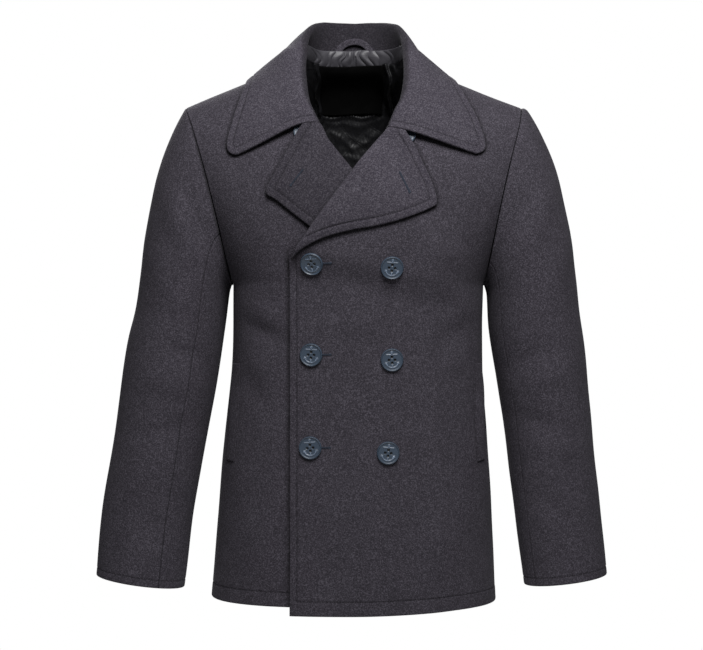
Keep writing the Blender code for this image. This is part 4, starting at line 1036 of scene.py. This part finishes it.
def paintedEdgeShade(points, *names):
    # painted shade along an edge that lies on the cloth: a bell round each path, where depth counts less
    look = edgeShadeLook
    flat = points.reshape(-1, 3) * look["depth"]
    deep = np.zeros(len(flat))
    for name in names:
        path = edgePaths[name] * look["depth"]
        near = np.array([np.square(flat - point).sum(-1) for point in path[::4]]).min(0) < look["reach"]**2
        if near.any():
            bell = bump(alongPath(flat[near], path, 0.002)[0] / look["width"])
            deep[near] = np.maximum(deep[near], look["dark"] * bell)
    return deep.reshape(points.shape[:-1])


def paintedSeamShade(points, width=0.0022, dark=0.34):
    # painted shade, as above, along a grid's four borders, where its seams draw it in
    return dark * (1 - gridFull(points, width, width, width, width))


def collar(name):
    # the inside of the stand lies in shade
    halves = {side: collarHalf(side) for side in (-1, 1)}
    for side, (half, column) in halves.items():
        collarEnds[side] = half[-1]
    column = halves[1][1]
    middle = np.concatenate([halves[-1][0][:0:-1], halves[1][0]])
    deep = 0.56 * smooth((column + 2 - np.arange(middle.shape[1])) / 7) + 0 * middle[..., 0]
    thing = turnedCloth(name, middle, column, (True, True), collarLook["stitch"], deep)
    free = middle[0, column + 12:], middle[1:-1, -1], middle[-1, :column + 11:-1]
    edgePaths["collar"] = np.concatenate(free)
    return thing


lapelLook = {
    "start": 0.146, "top": 0.655, "shy": 0.0048, "join": 0.15, "gap": 0.0005, "slack": 0.0008,
    "length": 0.27, "steps": 78, "span": 0.160, "stepAcross": 0.0033, "stitch": 0.0107, "spread": 0.3,
    "shade": 0.28,
    "fold": {1: (0.0026, 0.0020, 0.0), -1: (0.0024, 0.0020, 0.68)},
    "edge": {
        1: [(-0.0850, -0.2370, 0.0014), (-0.0710, -0.2250, 0.0014), (-0.0420, -0.2105, 0.0014),
            (-0.0060, -0.2008, 0.0014), (0.0300, -0.1945, 0.0014), (0.0650, -0.1850, 0.0018),
            (0.1016, -0.1699, 0.0024), (0.1095, -0.1600, 0.0024), (0.1020, -0.1330, 0.0028),
            (0.0890, -0.1050, 0.0040), (0.0792, -0.0820, 0.0052), (0.0690, -0.0630, 0.0058)],
        -1: [(-0.0800, -0.2350, 0.0014), (-0.0560, -0.2330, 0.0014), (-0.0200, -0.2300, 0.0014),
             (0.0150, -0.2220, 0.0014), (0.0450, -0.2070, 0.0014), (0.0700, -0.1880, 0.0014),
             (0.1050, -0.1600, 0.0018), (0.1200, -0.1480, 0.0024), (0.1080, -0.1220, 0.0030),
             (0.0950, -0.0980, 0.0038), (0.0820, -0.0770, 0.0048), (0.0680, -0.0610, 0.0054)],
    },
}


def lapel(name, side):
    # rows from the break up to the gorge; an edge row is x towards its own side, z and height over the cloth
    look = lapelLook
    length = look["length"]
    place = evenly(lambda t: np.stack([length * t, 0 * t, 0 * t], -1), 0, 1, length / look["steps"])
    level = look["start"] + (look["top"] - look["start"]) * place
    x, q = innerEdge(level, side), np.sqrt(1 - level)
    x = rollX(heightAt(x, level), side) + e["back"] + look["shy"] - side * sway(heightAt(x, level))
    n = formNormal(x, q)[0]
    raised = overlapLift if side > 0 else (lambda x, z: 0 * x)
    rim = form(x, q)
    rim = rim + n * (raised(x, rim[:, 2]) - cloth["wall"] / 2)[:, None]
    foot = rim - np.array([look["gap"], 0, 0])
    low, grow, start = look["fold"][side]
    fold = low + grow * smooth((place - start) / look["spread"])
    roll = form(x - e["back"], q)
    roll = roll + n * (raised(x, roll[:, 2]) - cloth["wall"] / 2 + fold)[:, None]
    table = np.array(look["edge"][side])
    edgeX, edgeZ, over = curve(np.linspace(0, 1, len(table)), table, place).T
    edgeX = edgeX - side * sway(edgeZ)
    edgeLevel = levelOf(edgeX, edgeZ, -1)
    edge = bodyPoint(edgeX, edgeLevel, -1)
    slope = formNormal(edgeX, np.sqrt(1 - edgeLevel))[0][:, 1]
    edge[:, 1] -= (raised(edgeX, edgeZ) + over + cloth["double"] / 2) / np.abs(slope)
    slack = np.full(len(place), look["slack"])
    stand, bends = np.linspace(0, 1, 5), 9
    share = 1 - marks(look["span"], look["stepAcross"], look["stitch"])[::-1]
    middle = folded(foot, roll, n, edge, fold, slack, stand, bends, share, overlapLift if side > 0 else None)
    end = collarEnds[side] * np.array([side, 1, 1])
    end[:, 0] -= side * sway(end[:, 2])
    near = np.argmin(np.linalg.norm(end - edge[-1], axis=-1))
    run, own = steps(end[:near + 1], 0), steps(middle[-1], 0)
    target = np.stack([np.interp(own / own[-1] * run[-1], run, end[:near + 1, k]) for k in range(3)], -1)
    weight = smooth((place - 1 + look["join"]) / look["join"])[:, None, None]
    middle = middle + weight * (target - middle[-1])
    middle = placed(middle, side)
    column = len(stand) + bends
    edgePaths[name] = middle[2:, -1]
    edgePaths[name + "_roll"] = middle[3:, len(stand) + bends // 2]
    deep = paintedEdgeShade(middle, "collar")
    if side < 0:      # it lies under the other one, turned from the light
        deep = np.maximum(deep, paintedEdgeShade(middle, "lapel_left_roll")) * (1 - look["shade"]) + look["shade"]
    return turnedCloth(name, middle, column, (False, False), look["stitch"], deep)


hands = {"left": 1, "right": -1}
built = {"collar": collar("collar")}
for word, side in hands.items():
    built["lapel_" + word] = lapel("lapel_" + word, side)
for word, side in hands.items():
    built["front_" + word] = frontPanel("front_" + word, side)
    built["back_" + word] = backPanel("back_" + word, side)
    seams = sleeveLook["frontSeam"][side], sleeveLook["backSeam"]
    built[f"sleeve_{word}_top"] = sleevePiece(f"sleeve_{word}_top", side, seams[0], 2 * pi - seams[1])
    built[f"sleeve_{word}_under"] = sleevePiece(f"sleeve_{word}_under", side, -seams[1], seams[0])
print("body, sleeves, collar and lapels made")


# placing things on the cloth

def lieOn(name, x, z):
    # point and normal of a piece's outer skin over x, z as seen from the front: the nearest grid
    # point that faces forwards, then along its tangent plane
    points, normals = (a.reshape(-1, 3) for a in surfaces[name])
    ahead = normals[:, 1] < -0.15
    points, normals = points[ahead], normals[ahead]
    flatX, flatZ = np.ravel(x), np.ravel(z)
    nearest = np.concatenate([
        np.argmin(np.square(points[None, :, 0] - flatX[k:k + 400, None])
                  + np.square(points[None, :, 2] - flatZ[k:k + 400, None]), axis=1)
        for k in range(0, len(flatX), 400)])
    p, n = points[nearest], normals[nearest]
    y = p[:, 1] - (n[:, 0] * (flatX - p[:, 0]) + n[:, 2] * (flatZ - p[:, 2])) / n[:, 1]
    return np.stack([flatX, y, flatZ], -1).reshape(*np.shape(x), 3), n.reshape(*np.shape(x), 3)


# buttons: a turned disc with a raised rope rim, an anchor in low relief and four sunk holes

buttonShape = {
    "radius": 0.0155, "thick": 0.0036, "turns": 132, "face": (0.02, 0.80, 23), "rimRings": (0.82, 1, 13),
    "holeRing": 0.0040, "holeRadius": 0.00180, "holes": 4, "holeSoft": 0.022, "sunk": 0.80,
    # heights in shares of its thickness, and places and widths in shares of its radius
    "edge": 0.42, "middle": 0.60, "dish": 0.10, "rim": (0.925, 0.045, 0.34), "rope": (0.04, 36, 20),
    "anchor": (0.94, 0.20, 0.88, 0.06), "round": (0.075, 0.10), "rubbed": (0.20, 0.62, 0.54),
    # name, cloth under it, x, z and how far its anchor is turned
    "places": [
        ("button_overlap_upper", "front_left", -0.0580, -0.2450, 0.06),
        ("button_overlap_middle", "front_left", -0.0590, -0.3672, -0.05),
        ("button_overlap_lower", "front_left", -0.0603, -0.4922, 0.09),
        ("button_left_upper", "front_left", 0.0490, -0.2508, -0.08),
        ("button_left_middle", "front_left", 0.0492, -0.3740, 0.04),
        ("button_left_lower", "front_left", 0.0441, -0.4990, -0.10),
        ("button_neck_right", "front_right", -0.0680, -0.0665, 0.4),
        ("button_neck_left", "front_left", 0.0665, -0.0700, -0.3),
    ],
}


def anchorRelief(x, y):
    # ring, stock, shank, two curved arms with flukes, in units of the button's radius
    shape = bump((np.hypot(x, y - 0.72) - 0.08) / 0.040)
    parts = [(-0.50, 0.50, -0.10, 0.50, 0.045), (0.10, 0.50, 0.50, 0.50, 0.045),
             (0, 0.62, 0, 0.46, 0.050), (0, -0.46, 0, -0.70, 0.055),
             (-0.60, -0.24, -0.44, -0.44, 0.060), (0.60, -0.24, 0.44, -0.44, 0.060),
             (-0.66, -0.34, -0.48, -0.26, 0.050), (0.66, -0.34, 0.48, -0.26, 0.050)]
    for row in parts:
        shape = np.maximum(shape, stroke(x, y, *row))
    arc = bump((np.hypot(x, y + 0.10) - 0.60) / 0.050) * smooth((-y - 0.26) / 0.10)
    return np.maximum(shape, arc)


def buttonShell():
    # rings, turns, heights of face and underside, and places of painted highlight of a button lying flat
    look = buttonShape
    big, thick, turns = look["radius"], look["thick"], look["turns"]
    r = np.concatenate([np.linspace(*look["face"]), np.linspace(*look["rimRings"])])[:, None]
    turn = np.linspace(0, 2 * pi, turns, endpoint=False)[None, :]
    sx, sy = r * np.cos(turn), r * np.sin(turn)
    at, wide, high = look["rim"]
    rim = bump((r - at) / wide)
    ropeHigh, strands, lean = look["rope"]
    rope = ropeHigh * rim * np.sin(turn * strands + r * lean)
    scale, proudest, until, fade = look["anchor"]
    anchor = anchorRelief(sx / scale, sy / scale) * smooth((until - r) / fade)
    height = look["middle"] + look["dish"] * r**2 + high * rim + rope + proudest * anchor
    height = look["edge"] + (height - look["edge"]) * rounding(1 - r, look["round"][0])
    hole = 0
    for k in range(look["holes"]):
        angle = k * 2 * pi / look["holes"]
        cx, cy = look["holeRing"] / big * np.cos(angle), look["holeRing"] / big * np.sin(angle)
        inside = (look["holeRadius"] / big - np.hypot(sx - cx, sy - cy)) / look["holeSoft"]
        hole = np.maximum(hole, smooth(inside + 0.5))
    height = height * (1 - look["sunk"] * hole)
    flat, raised, rope = look["rubbed"]
    proud = np.maximum(flat + raised * anchor, rope * rim + 0 * turn) * (1 - hole)
    low = look["edge"] * (1 - rounding(1 - r, look["round"][1])) + 0 * sx
    return r, turn, height * thick, low * thick, proud


def buttonFaces(count, turns, poles):
    # quads of the face and of the underside, which shares the outermost ring, and a fan at each pole
    up = ringFaces(count, turns)
    base = count * turns
    below = np.where(up < base - turns, up + base, up)
    ring = np.arange(turns)
    after = (ring + 1) % turns
    caps = np.stack([poles + 0 * ring, ring, after], -1).tolist()
    caps += np.stack([poles + 1 + 0 * ring, base + after, base + ring], -1).tolist()
    return up.tolist() + below[:, [0, 3, 2, 1]].tolist() + caps


def button(name, panel, x, z, turned):
    # the shell turned, tilted to the plane through the cloth under it and lifted clear of that cloth
    look = buttonShape
    big, thick = look["radius"], look["thick"]
    r, turn, height, low, proud = buttonShell()
    px, py = r * np.cos(turn + turned), r * np.sin(turn + turned)
    top = np.stack([px * big, py * big, height], -1)
    under = np.stack([px * big, py * big, low], -1)[:-1]
    vertices = np.concatenate([top.reshape(-1, 3), under.reshape(-1, 3),
                               [[0, 0, look["middle"] * thick], [0, 0, 0]]])
    faces = buttonFaces(len(r), look["turns"], len(vertices) - 2)
    sample = big * np.array([0.33, 0.66, 1.0])[:, None]
    angles = np.linspace(0, 2 * pi, 24, endpoint=False)[None, :]
    hits = lieOn(panel, x + sample * np.cos(angles), z + sample * np.sin(angles))[0].reshape(-1, 3)
    seat = lieOn(panel, np.array([x]), np.array([z]))[0][0]
    across, along = (np.linalg.lstsq(np.stack([hits[:, 0] - x, hits[:, 2] - z], -1), hits[:, 1] - seat[1],
                                     rcond=None)[0])
    right, above = unit(np.array([1, across, 0])), unit(np.array([0, along, 1]))
    face = unit(np.cross(right, above))
    face = face if face[1] < 0 else -face
    above = np.cross(face, right)
    stand = max(((hits - seat) @ face).max(), 0) + cloth["gap"]
    vertices = (vertices[:, :1] * right + vertices[:, 1:2] * above + vertices[:, 2:] * face
                + seat + face * stand)
    worn = np.concatenate([proud.ravel(), np.zeros(len(vertices) - proud.size)])
    return newObject(name, vertices, faces, [polyester], proud=worn)


for row in buttonShape["places"]:
    built[row[0]] = button(*row)


# buttonholes: two corded sides with a slit between, worked in thread, wider at one end by its eye;
# a row is x, z of both ends and half width

holeLook = {
    "high": 0.0006, "low": 0.0001, "wall": 0.0004, "round": (0.0006, 0.0006, 0.0004, 0.0004),
    "eye": (0.55, 1.1), "grid": (90, 15),
    "rows": [
        ("buttonhole_upper", "front_left", -0.0650, -0.2452, -0.0320, -0.2446, 0.0011),
        ("buttonhole_middle", "front_left", -0.0660, -0.3674, -0.0325, -0.3668, 0.0011),
        ("buttonhole_lower", "front_left", -0.0670, -0.4924, -0.0335, -0.4918, 0.0011),
        ("buttonhole_lapel_right", "lapel_right", -0.0700, -0.1190, -0.0868, -0.1408, 0.0011),
        ("buttonhole_lapel_left", "lapel_left", 0.0594, -0.1230, 0.0728, -0.1505, 0.0012),
    ],
}


def buttonhole(name, panel, x0, z0, x1, z1, half):
    # strip along the slit, with a soft bead on each side of it
    length = np.hypot(x1 - x0, z1 - z0)
    look, (wider, eye) = holeLook, holeLook["eye"]
    u = np.linspace(-half, length + half, look["grid"][0])[:, None]
    v = np.linspace(-1, 1, look["grid"][1])[None, :]
    past = np.maximum(np.maximum(-u, u - length), 0)
    wide = np.sqrt(np.maximum(half**2 - past**2, 1e-9))
    wide = wide * (1 + wider * bump((u - length + half) / (eye * half)))
    along, across = np.array([x1 - x0, z1 - z0]) / length, np.array([z0 - z1, x1 - x0]) / length
    x = x0 + along[0] * u + across[0] * v * wide
    z = z0 + along[1] * u + across[1] * v * wide
    points, normal = lieOn(panel, x, z)
    bead = look["high"] * np.sin(pi * np.abs(v))**0.7 * rounding(wide / half, 0.6)
    middle = points + normal * (look["low"] + bead)[..., None]
    full = gridFull(points, *look["round"])
    uv = np.stack([u + 0 * v, v * wide], -1)
    return closedWall(name, middle, normal, look["wall"], full, [thread], uv=uv)[0]


for row in holeLook["rows"]:
    buttonhole(*row)
print("buttons and buttonholes made")


# pocket welts: a strip whose back edge stands off, over a mouth painted dark on the front as shade; x, z of
# the fold and of the edge

weltLook = {
    "rows": [(0.1610, -0.3800, 0.1722, -0.3800), (0.1610, -0.4100, 0.1735, -0.4100),
             (0.1615, -0.4450, 0.1732, -0.4450), (0.1635, -0.4800, 0.1748, -0.4800),
             (0.1668, -0.5150, 0.1778, -0.5130)],
    "length": 0.137, "width": 0.013, "step": (0.0035, 0.0012), "round": (0.0018, 0.0018, 0.0014, 0.0018),
    "off": {1: 0.0036, -1: 0.0014}, "stitch": 0.0018, "wall": 0.0016, "valley": 0.0005,
}


def pocketWelt(name, side):
    # straight rows from the fold to the edge, laid on the front and raised most at mid length
    look = weltLook
    table = np.array(look["rows"])
    v = marks(look["length"], look["step"][0])[:, None]
    u = marks(look["width"], look["step"][1])[None, :]
    low, high = (curve(np.linspace(0, 1, len(table)), table[:, k:k + 2], v[:, 0]) for k in (0, 2))
    xz = low[:, None] * (1 - u[..., None]) + high[:, None] * u[..., None]
    panel = "front_left" if side > 0 else "front_right"
    points, normal = lieOn(panel, side * xz[..., 0] + sway(xz[..., 1]), xz[..., 1])
    rise = cloth["gap"] + look["off"][side] * smooth(u) * np.sin(pi * np.clip(v, 0, 1))**1.5
    middle = points + normal * (rise + look["wall"] / 2)[..., None]
    line = (steps(middle, 1) - look["stitch"], steps(middle, 0))
    return closedWall(name, middle, gridNormals(middle, (0, -1, 0)), look["wall"],
                      gridFull(points, *look["round"]), [melton], None, [line], valley=look["valley"])[0]


for word, side in hands.items():
    built["pocket_welt_" + word] = pocketWelt("pocket_welt_" + word, side)


# neck: satin band, quilted lining, bare label and hanger loop

neckLook = {
    # how far things hang before what lies behind them, and the grid on which that is found
    "near": 0.0022, "trim": 0.0010, "under": 0.0068, "edge": 0.0012,
    "recede": (0.35, 1.4, 0.024), "soften": 4, "blend": 0.0030, "standFrom": -0.06,
    "mapX": (-0.17, 0.17, 137), "mapZ": (-0.25, 0.10, 141),
    "bandHalf": 0.0712, "bandTop": 0.0722, "bandLow": 0.0480, "gather": 0.0046,
    "gathers": [-0.084, -0.072, -0.062, -0.055, -0.041, -0.034, -0.019, -0.013, -0.001, 0.012, 0.024, 0.032,
                0.045, 0.051, 0.061, 0.070, 0.084],
    "bandSeam": (0.0016, 0.0008, 0.0012),
    "liningTop": 0.078, "liningLow": 0.160, "topZ": 0.0520, "lowZ": -0.2380, "puff": 0.0014,
    # loose folds of the lining: x, z of both ends, width, height
    "folds": [
        (-0.0545, 0.0500, -0.0530, -0.0160, 0.0032, 0.0105),
        (-0.0640, 0.0500, -0.0660, 0.0060, 0.0036, 0.0080),
        (0.0460, 0.0500, 0.0500, -0.0100, 0.0032, 0.0105),
        (0.0560, 0.0480, 0.0600, -0.0020, 0.0034, 0.0090),
        (-0.0500, -0.0195, 0.0300, -0.0185, 0.0024, 0.0030),
        (0.0330, -0.0120, 0.0560, 0.0160, 0.0034, 0.0030),
        (-0.0480, -0.0240, -0.0080, -0.0310, 0.0040, 0.0012),
        (-0.0020, -0.0330, 0.0400, -0.0240, 0.0044, 0.0012),
        (-0.0340, -0.0400, 0.0020, -0.0700, 0.0040, 0.0014),
        (0.0340, -0.0440, -0.0040, -0.0660, 0.0044, 0.0016),
        (-0.0140, -0.0480, 0.0160, -0.0560, 0.0036, 0.0010),
        (-0.0200, -0.0760, 0.0200, -0.0820, 0.0050, 0.0012)],
    "labelHalf": 0.0456, "labelX": -0.0050, "labelTop": 0.0490, "labelLow": -0.0160,
    "labelGap": 0.0024, "labelWall": 0.0008,
    "loopHalf": 0.0235, "loopHigh": 0.0200, "loopWide": 0.0094, "loopX": 0.0045, "loopZ": 0.0650,
    "loopThick": 0.0028, "loopPast": 0.15, "loopOff": (0.0012, 0.0034), "loopShade": (0.12, 0.25),
}


def neckMap():
    # what lies foremost inside the neck over a grid of x, z: the collar's stand, as the average of its
    # nearest points carried on below its foot at a slope, or the inside of the back
    look = neckLook
    x, z = np.meshgrid(*[np.linspace(*look[k]) for k in ("mapX", "mapZ")], indexing="ij")
    stand = surfaces["collar_stand"][0]
    foot = stand[stand[:, 0, 1] > 0, 0]
    foot = foot[np.argsort(foot[:, 0])]
    low = np.interp(x, foot[:, 0], foot[:, 2])
    points = stand.reshape(-1, 3)
    points = points[points[:, 1] > look["standFrom"]]
    front = np.empty(x.size)
    flatX, flatZ = x.ravel(), np.maximum(z, low).ravel()
    for k in range(0, x.size, 2000):
        away = (np.square(flatX[k:k + 2000, None] - points[:, 0])
                + np.square(flatZ[k:k + 2000, None] - points[:, 2])) / look["blend"]**2
        weight = np.exp(away.min(1, keepdims=True) - away)
        front[k:k + 2000] = weight @ points[:, 1] / weight.sum(1)
    drop, (gentle, steep, bend) = np.maximum(low - z, 0), look["recede"]
    front = front.reshape(x.shape) + gentle * drop + (steep - gentle) * np.maximum(drop - bend, 0)
    own = x - sway(z)
    level = np.clip(levelOf(own, np.minimum(z, low - 0.004), 1), 0.02, 0.96)
    face = np.minimum(front, bodyPoint(own, level, 1)[..., 1] - look["under"])
    for _ in range(look["soften"]):
        for axis in (0, 1):
            face = (np.roll(face, 1, axis) + 2 * face + np.roll(face, -1, axis)) / 4
    return face


def neckFace(x, z):
    # the same between the grid's points, as straight shares of the four round each place
    look = neckLook
    place = []
    for at, key in ((x, "mapX"), (z, "mapZ")):
        low, high, count = look[key]
        t = np.clip((at - low) / (high - low), 0, 0.9999) * (count - 1)
        place.append((t.astype(int), t - t.astype(int)))
    (i, u), (j, v) = place
    return ((neckGrid[i, j] * (1 - u) + neckGrid[i + 1, j] * u) * (1 - v)
            + (neckGrid[i, j + 1] * (1 - u) + neckGrid[i + 1, j + 1] * u) * v)


def neckWall(name, x, z, near, thick, puff, looks, uv=None):
    # a wall hung in front of the neck's face, padded towards the front by puff
    y = neckFace(x, z) - near
    middle = np.stack([x, y - (thick + puff) / 2, z], -1)
    normal = np.zeros_like(middle)
    normal[..., 1] = -1
    half = (thick + puff) / 2
    full = gridFull(middle, *[neckLook["edge"]] * 4)
    uv = np.stack([x, z], -1) if uv is None else uv
    return closedWall(name, middle, normal, 0, full, looks, uv=uv, relief=half, reliefIn=half)[0]


def neckBand(name):
    # gathers of uneven width: pillows between sharp creases that lean and wander
    look = neckLook
    x = np.linspace(-look["bandHalf"], look["bandHalf"], 400)[None, :]
    v = np.linspace(0, 1, 32)[:, None]
    places = np.array(look["gathers"])
    size = 0.76 + 0.24 * np.sin(7.1 * np.arange(len(places)) + 1.0)
    leaning = x + 0.0048 * np.sin(3.0 * v + 60 * x) + 0.0022 * np.sin(6 * v - 130 * x + 1)
    at = np.interp(leaning, places, np.arange(len(places)))
    swell = curve(np.arange(len(places)), size, at)
    puff = look["gather"] * swell * (0.35 + 0.65 * np.abs(np.sin(pi * at))**0.8)
    puff = puff * np.sqrt(np.sin(pi * np.clip(0.06 + 0.86 * v, 0, 1)))
    deep, at, wide = look["bandSeam"]
    puff = puff - deep * bump((x - at) / wide) * smooth((v - 0.35) / 0.1)
    top = look["bandTop"] + 0.0009 * np.sin(120 * x) * np.sin(47 * x + 1) - 0.10 * np.abs(x)**1.5
    z = top + (look["bandLow"] - top) * v + 0 * x
    return neckWall(name, x + 0 * v, z, look["near"], look["trim"], np.maximum(puff, 0.0002), [bandSatin])


def backLining(name):
    # padded in diamonds that wander by a few long waves, with loose folds beside and under the label
    look = neckLook
    u = np.linspace(-1, 1, 170)[None, :]
    v = np.linspace(0, 1, 150)[:, None]
    x = u * (look["liningTop"] + (look["liningLow"] - look["liningTop"]) * np.sqrt(v))
    z = look["topZ"] + (look["lowZ"] - look["topZ"]) * v + 0 * x
    size = satinLook["quilt"]
    wx = x + 0.0040 * np.sin(47 * z + 2) + 0.0016 * np.sin(110 * z - 60 * x)
    wz = z + 0.0050 * np.sin(38 * x + 1)
    crush = 0.0015 * np.sin(190 * x + 60 * z) * np.sin(140 * z - 90 * x)
    crush = crush + 0.0010 * np.sin(310 * x - 240 * z + 40 * np.sin(30 * x))
    diamond = np.abs(np.sin(pi * (wx + wz) / size) * np.sin(pi * (wx - wz) / size))
    puff = look["puff"] * np.sqrt(diamond) + np.abs(crush) * diamond**0.25
    foldX, foldZ = x + 0.002 * np.sin(160 * z), z + 0.002 * np.sin(140 * x)
    for *ends, width, height in look["folds"]:
        puff = puff + height * stroke(foldX, foldZ, *ends, width)
    return neckWall(name, x, z, look["near"] * 0.5, look["trim"], puff, [lining], np.stack([wx, wz], -1))


def neckLabel(name):
    # a bare strip in front of the lining, sagging by two waves
    look = neckLook
    x = np.linspace(-look["labelHalf"], look["labelHalf"], 90)[None, :]
    z = np.linspace(look["labelTop"], look["labelLow"], 70)[:, None]
    x, z = x + look["labelX"] + 0.0008 * np.sin(90 * z) + 0 * z, z + 0.0010 * np.sin(60 * x) + 0 * x
    sag = 0.0007 * np.sin(80 * x + 40 * z) * np.sin(70 * z) + 0.0003 * np.sin(150 * x - 110 * z)
    near = look["near"] + look["trim"] + look["puff"] + look["labelGap"]
    return neckWall(name, x, z, near, look["labelWall"], np.abs(sag), [labelCloth])


def hangerLoop(name):
    # half oval of folded cloth, rounded across, standing up from behind the band
    look = neckLook
    past, (off, offMiddle), (dark, edge) = look["loopPast"], look["loopOff"], look["loopShade"]
    turn = np.linspace(-past, pi + past, 90)[:, None]
    around = np.linspace(0, 2 * pi, 33)[None, :-1]
    x = look["loopX"] + look["loopHalf"] * np.cos(turn)
    z = look["loopZ"] + look["loopHigh"] * np.sin(turn)
    x = x + sway(z)
    y = neckFace(x, z) - look["loopThick"] / 2 - off - offMiddle * np.sin(turn)**2
    path = np.stack([x, y, z], -1)
    out = unit(np.stack([np.cos(turn) / look["loopHalf"], 0 * turn, np.sin(turn) / look["loopHigh"]], -1))
    c, s = np.cos(around)[..., None], np.sin(around)[..., None]
    points = path + out * np.sign(c) * np.abs(c)**0.6 * look["loopWide"] / 2
    points = points + np.array([0, 1, 0]) * np.sign(s) * np.abs(s)**0.8 * look["loopThick"] / 2
    rows, columns = points.shape[:2]
    ends = [list(range(columns)), list(range((rows - 1) * columns, rows * columns))[::-1]]
    shade = dark * bump(np.cos(around) / edge) + 0 * turn
    return newObject(name, points.reshape(-1, 3), ringFaces(rows, columns).tolist() + ends, [melton],
                     seam=np.ones(rows * columns), run=np.zeros(rows * columns), deep=shade.ravel())


neckGrid = neckMap()
for name, make in (("neck_band", neckBand), ("back_lining", backLining), ("neck_label", neckLabel),
                   ("hanger_loop", hangerLoop)):
    built[name] = make(name)
print("neck made")


# each piece's part hidden and its row read: slot and flat size, whose area is that of the surface built here;
# a row is slot, width and length in metres, area in square metres, how it is held and what it lies on

cutLook = {
    "front": ("melton", 0.360, 0.780, 0.2300, "hung", ["back_{side}"]),
    "back": ("melton", 0.280, 0.800, 0.1860, "hung", ["front_{side}"]),
    "sleeve_left_top": ("melton", 0.345, 0.680, 0.1890, "hung", ["front_left", "back_left"]),
    "sleeve_right_top": ("melton", 0.325, 0.685, 0.1780, "hung", ["front_right", "back_right"]),
    "sleeve_left_under": ("melton", 0.135, 0.500, 0.0520, "hung", ["sleeve_left_top"]),
    "sleeve_right_under": ("melton", 0.160, 0.500, 0.0650, "hung", ["sleeve_right_top"]),
    "collar": ("melton", 0.640, 0.175, 0.0940, "folded",
               ["back_left", "back_right", "front_left", "front_right"]),
    "lapel": ("melton", 0.145, 0.260, 0.0188, "folded", ["front_{side}"]),
    "welt": ("melton", 0.0255, 0.137, None, "laid", ["front_{side}"]),
    "neck_band": ("neck_band", 0.240, 0.025, None, "gathered", ["collar"]),
    "back_lining": ("lining", 0.330, 0.345, 0.1000, "hung", ["back_left", "back_right"]),
    "neck_label": ("label", 0.0912, 0.0840, None, "laid", ["back_lining"]),
    "hanger_loop": ("melton", 0.0105, 0.078, None, "folded", ["collar"]),
}
for name, thing in built.items():
    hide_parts(name)
    if name.startswith("button"):
        continue
    side = "left" if "left" in name else "right"
    kind = name if name in cutLook else next(k for k in cutLook if k in name.split("_"))
    slot, width, length, area, held, under = cutLook[kind]
    under = [panel.format(side=side) for panel in under]


# floor, light and camera

stageLook = {
    "floor": "#f4f4f4", "drop": -1.48, "radius": 2.4, "sides": 64, "world": "#ffffff", "fill": 0.125,
    # name, place, watts and width of each lamp, all aimed at the coat's middle
    "lamps": [("key", (0.17, -1.25, 1.05), 67, 0.8), ("behind", (-0.5, 2.0, 1.3), 60, 1.2)],
    "aim": (0, 0, -0.35),
    "lens": 86.54, "sensor": 36, "camera": (-0.00497, -2.4, -0.327),
}


def floorDisc():
    # flat disc far below the coat
    look = stageLook
    turn = np.linspace(0, 2 * pi, look["sides"], endpoint=False)
    points = np.stack([look["radius"] * np.cos(turn), look["radius"] * np.sin(turn), 0 * turn + look["drop"]],
                      -1)
    mesh = bpy.data.meshes.new("floor")
    mesh.from_pydata(points.tolist(), [], [list(range(look["sides"]))])
    thing = bpy.data.objects.new("floor", mesh)
    bpy.context.scene.collection.objects.link(thing)
    material, _, shader = newMaterial("paleFloor", Roughness=0.9, Specular_IOR_Level=0.2)
    shader.inputs["Base Color"].default_value = linear(look["floor"])
    mesh.materials.append(material)


def lightUp():
    # a white world that is dimmer as a light than as a background, and two square lamps
    look = stageLook
    world = bpy.data.worlds.new("studio")
    world.use_nodes = True
    tree = world.node_tree
    background = tree.nodes["Background"]
    background.inputs["Color"].default_value = linear(look["world"])
    seen = add(tree, "ShaderNodeLightPath").outputs["Is Camera Ray"]
    strength = maths(tree, "MAXIMUM", seen, look["fill"])
    tree.links.new(strength, background.inputs["Strength"])
    bpy.context.scene.world = world
    for name, place, power, size in look["lamps"]:
        lamp = bpy.data.lights.new(name, "AREA")
        lamp.energy, lamp.size, lamp.shape = power, size, "SQUARE"
        thing = bpy.data.objects.new(name, lamp)
        thing.location = place
        aim = Vector(look["aim"]) - Vector(place)
        thing.rotation_euler = aim.to_track_quat("-Z", "Y").to_euler()
        bpy.context.scene.collection.objects.link(thing)


def takeCamera():
    # level, straight at the coat's front
    look = stageLook
    lens = bpy.data.cameras.new("camera")
    lens.lens, lens.sensor_width = look["lens"], look["sensor"]
    camera = bpy.data.objects.new("camera", lens)
    camera.location = look["camera"]
    camera.rotation_euler = (radians(90), 0, 0)
    bpy.context.scene.collection.objects.link(camera)
    bpy.context.scene.camera = camera


floorDisc()
lightUp()
takeCamera()
bpy.context.scene.view_settings.view_transform = "Standard"
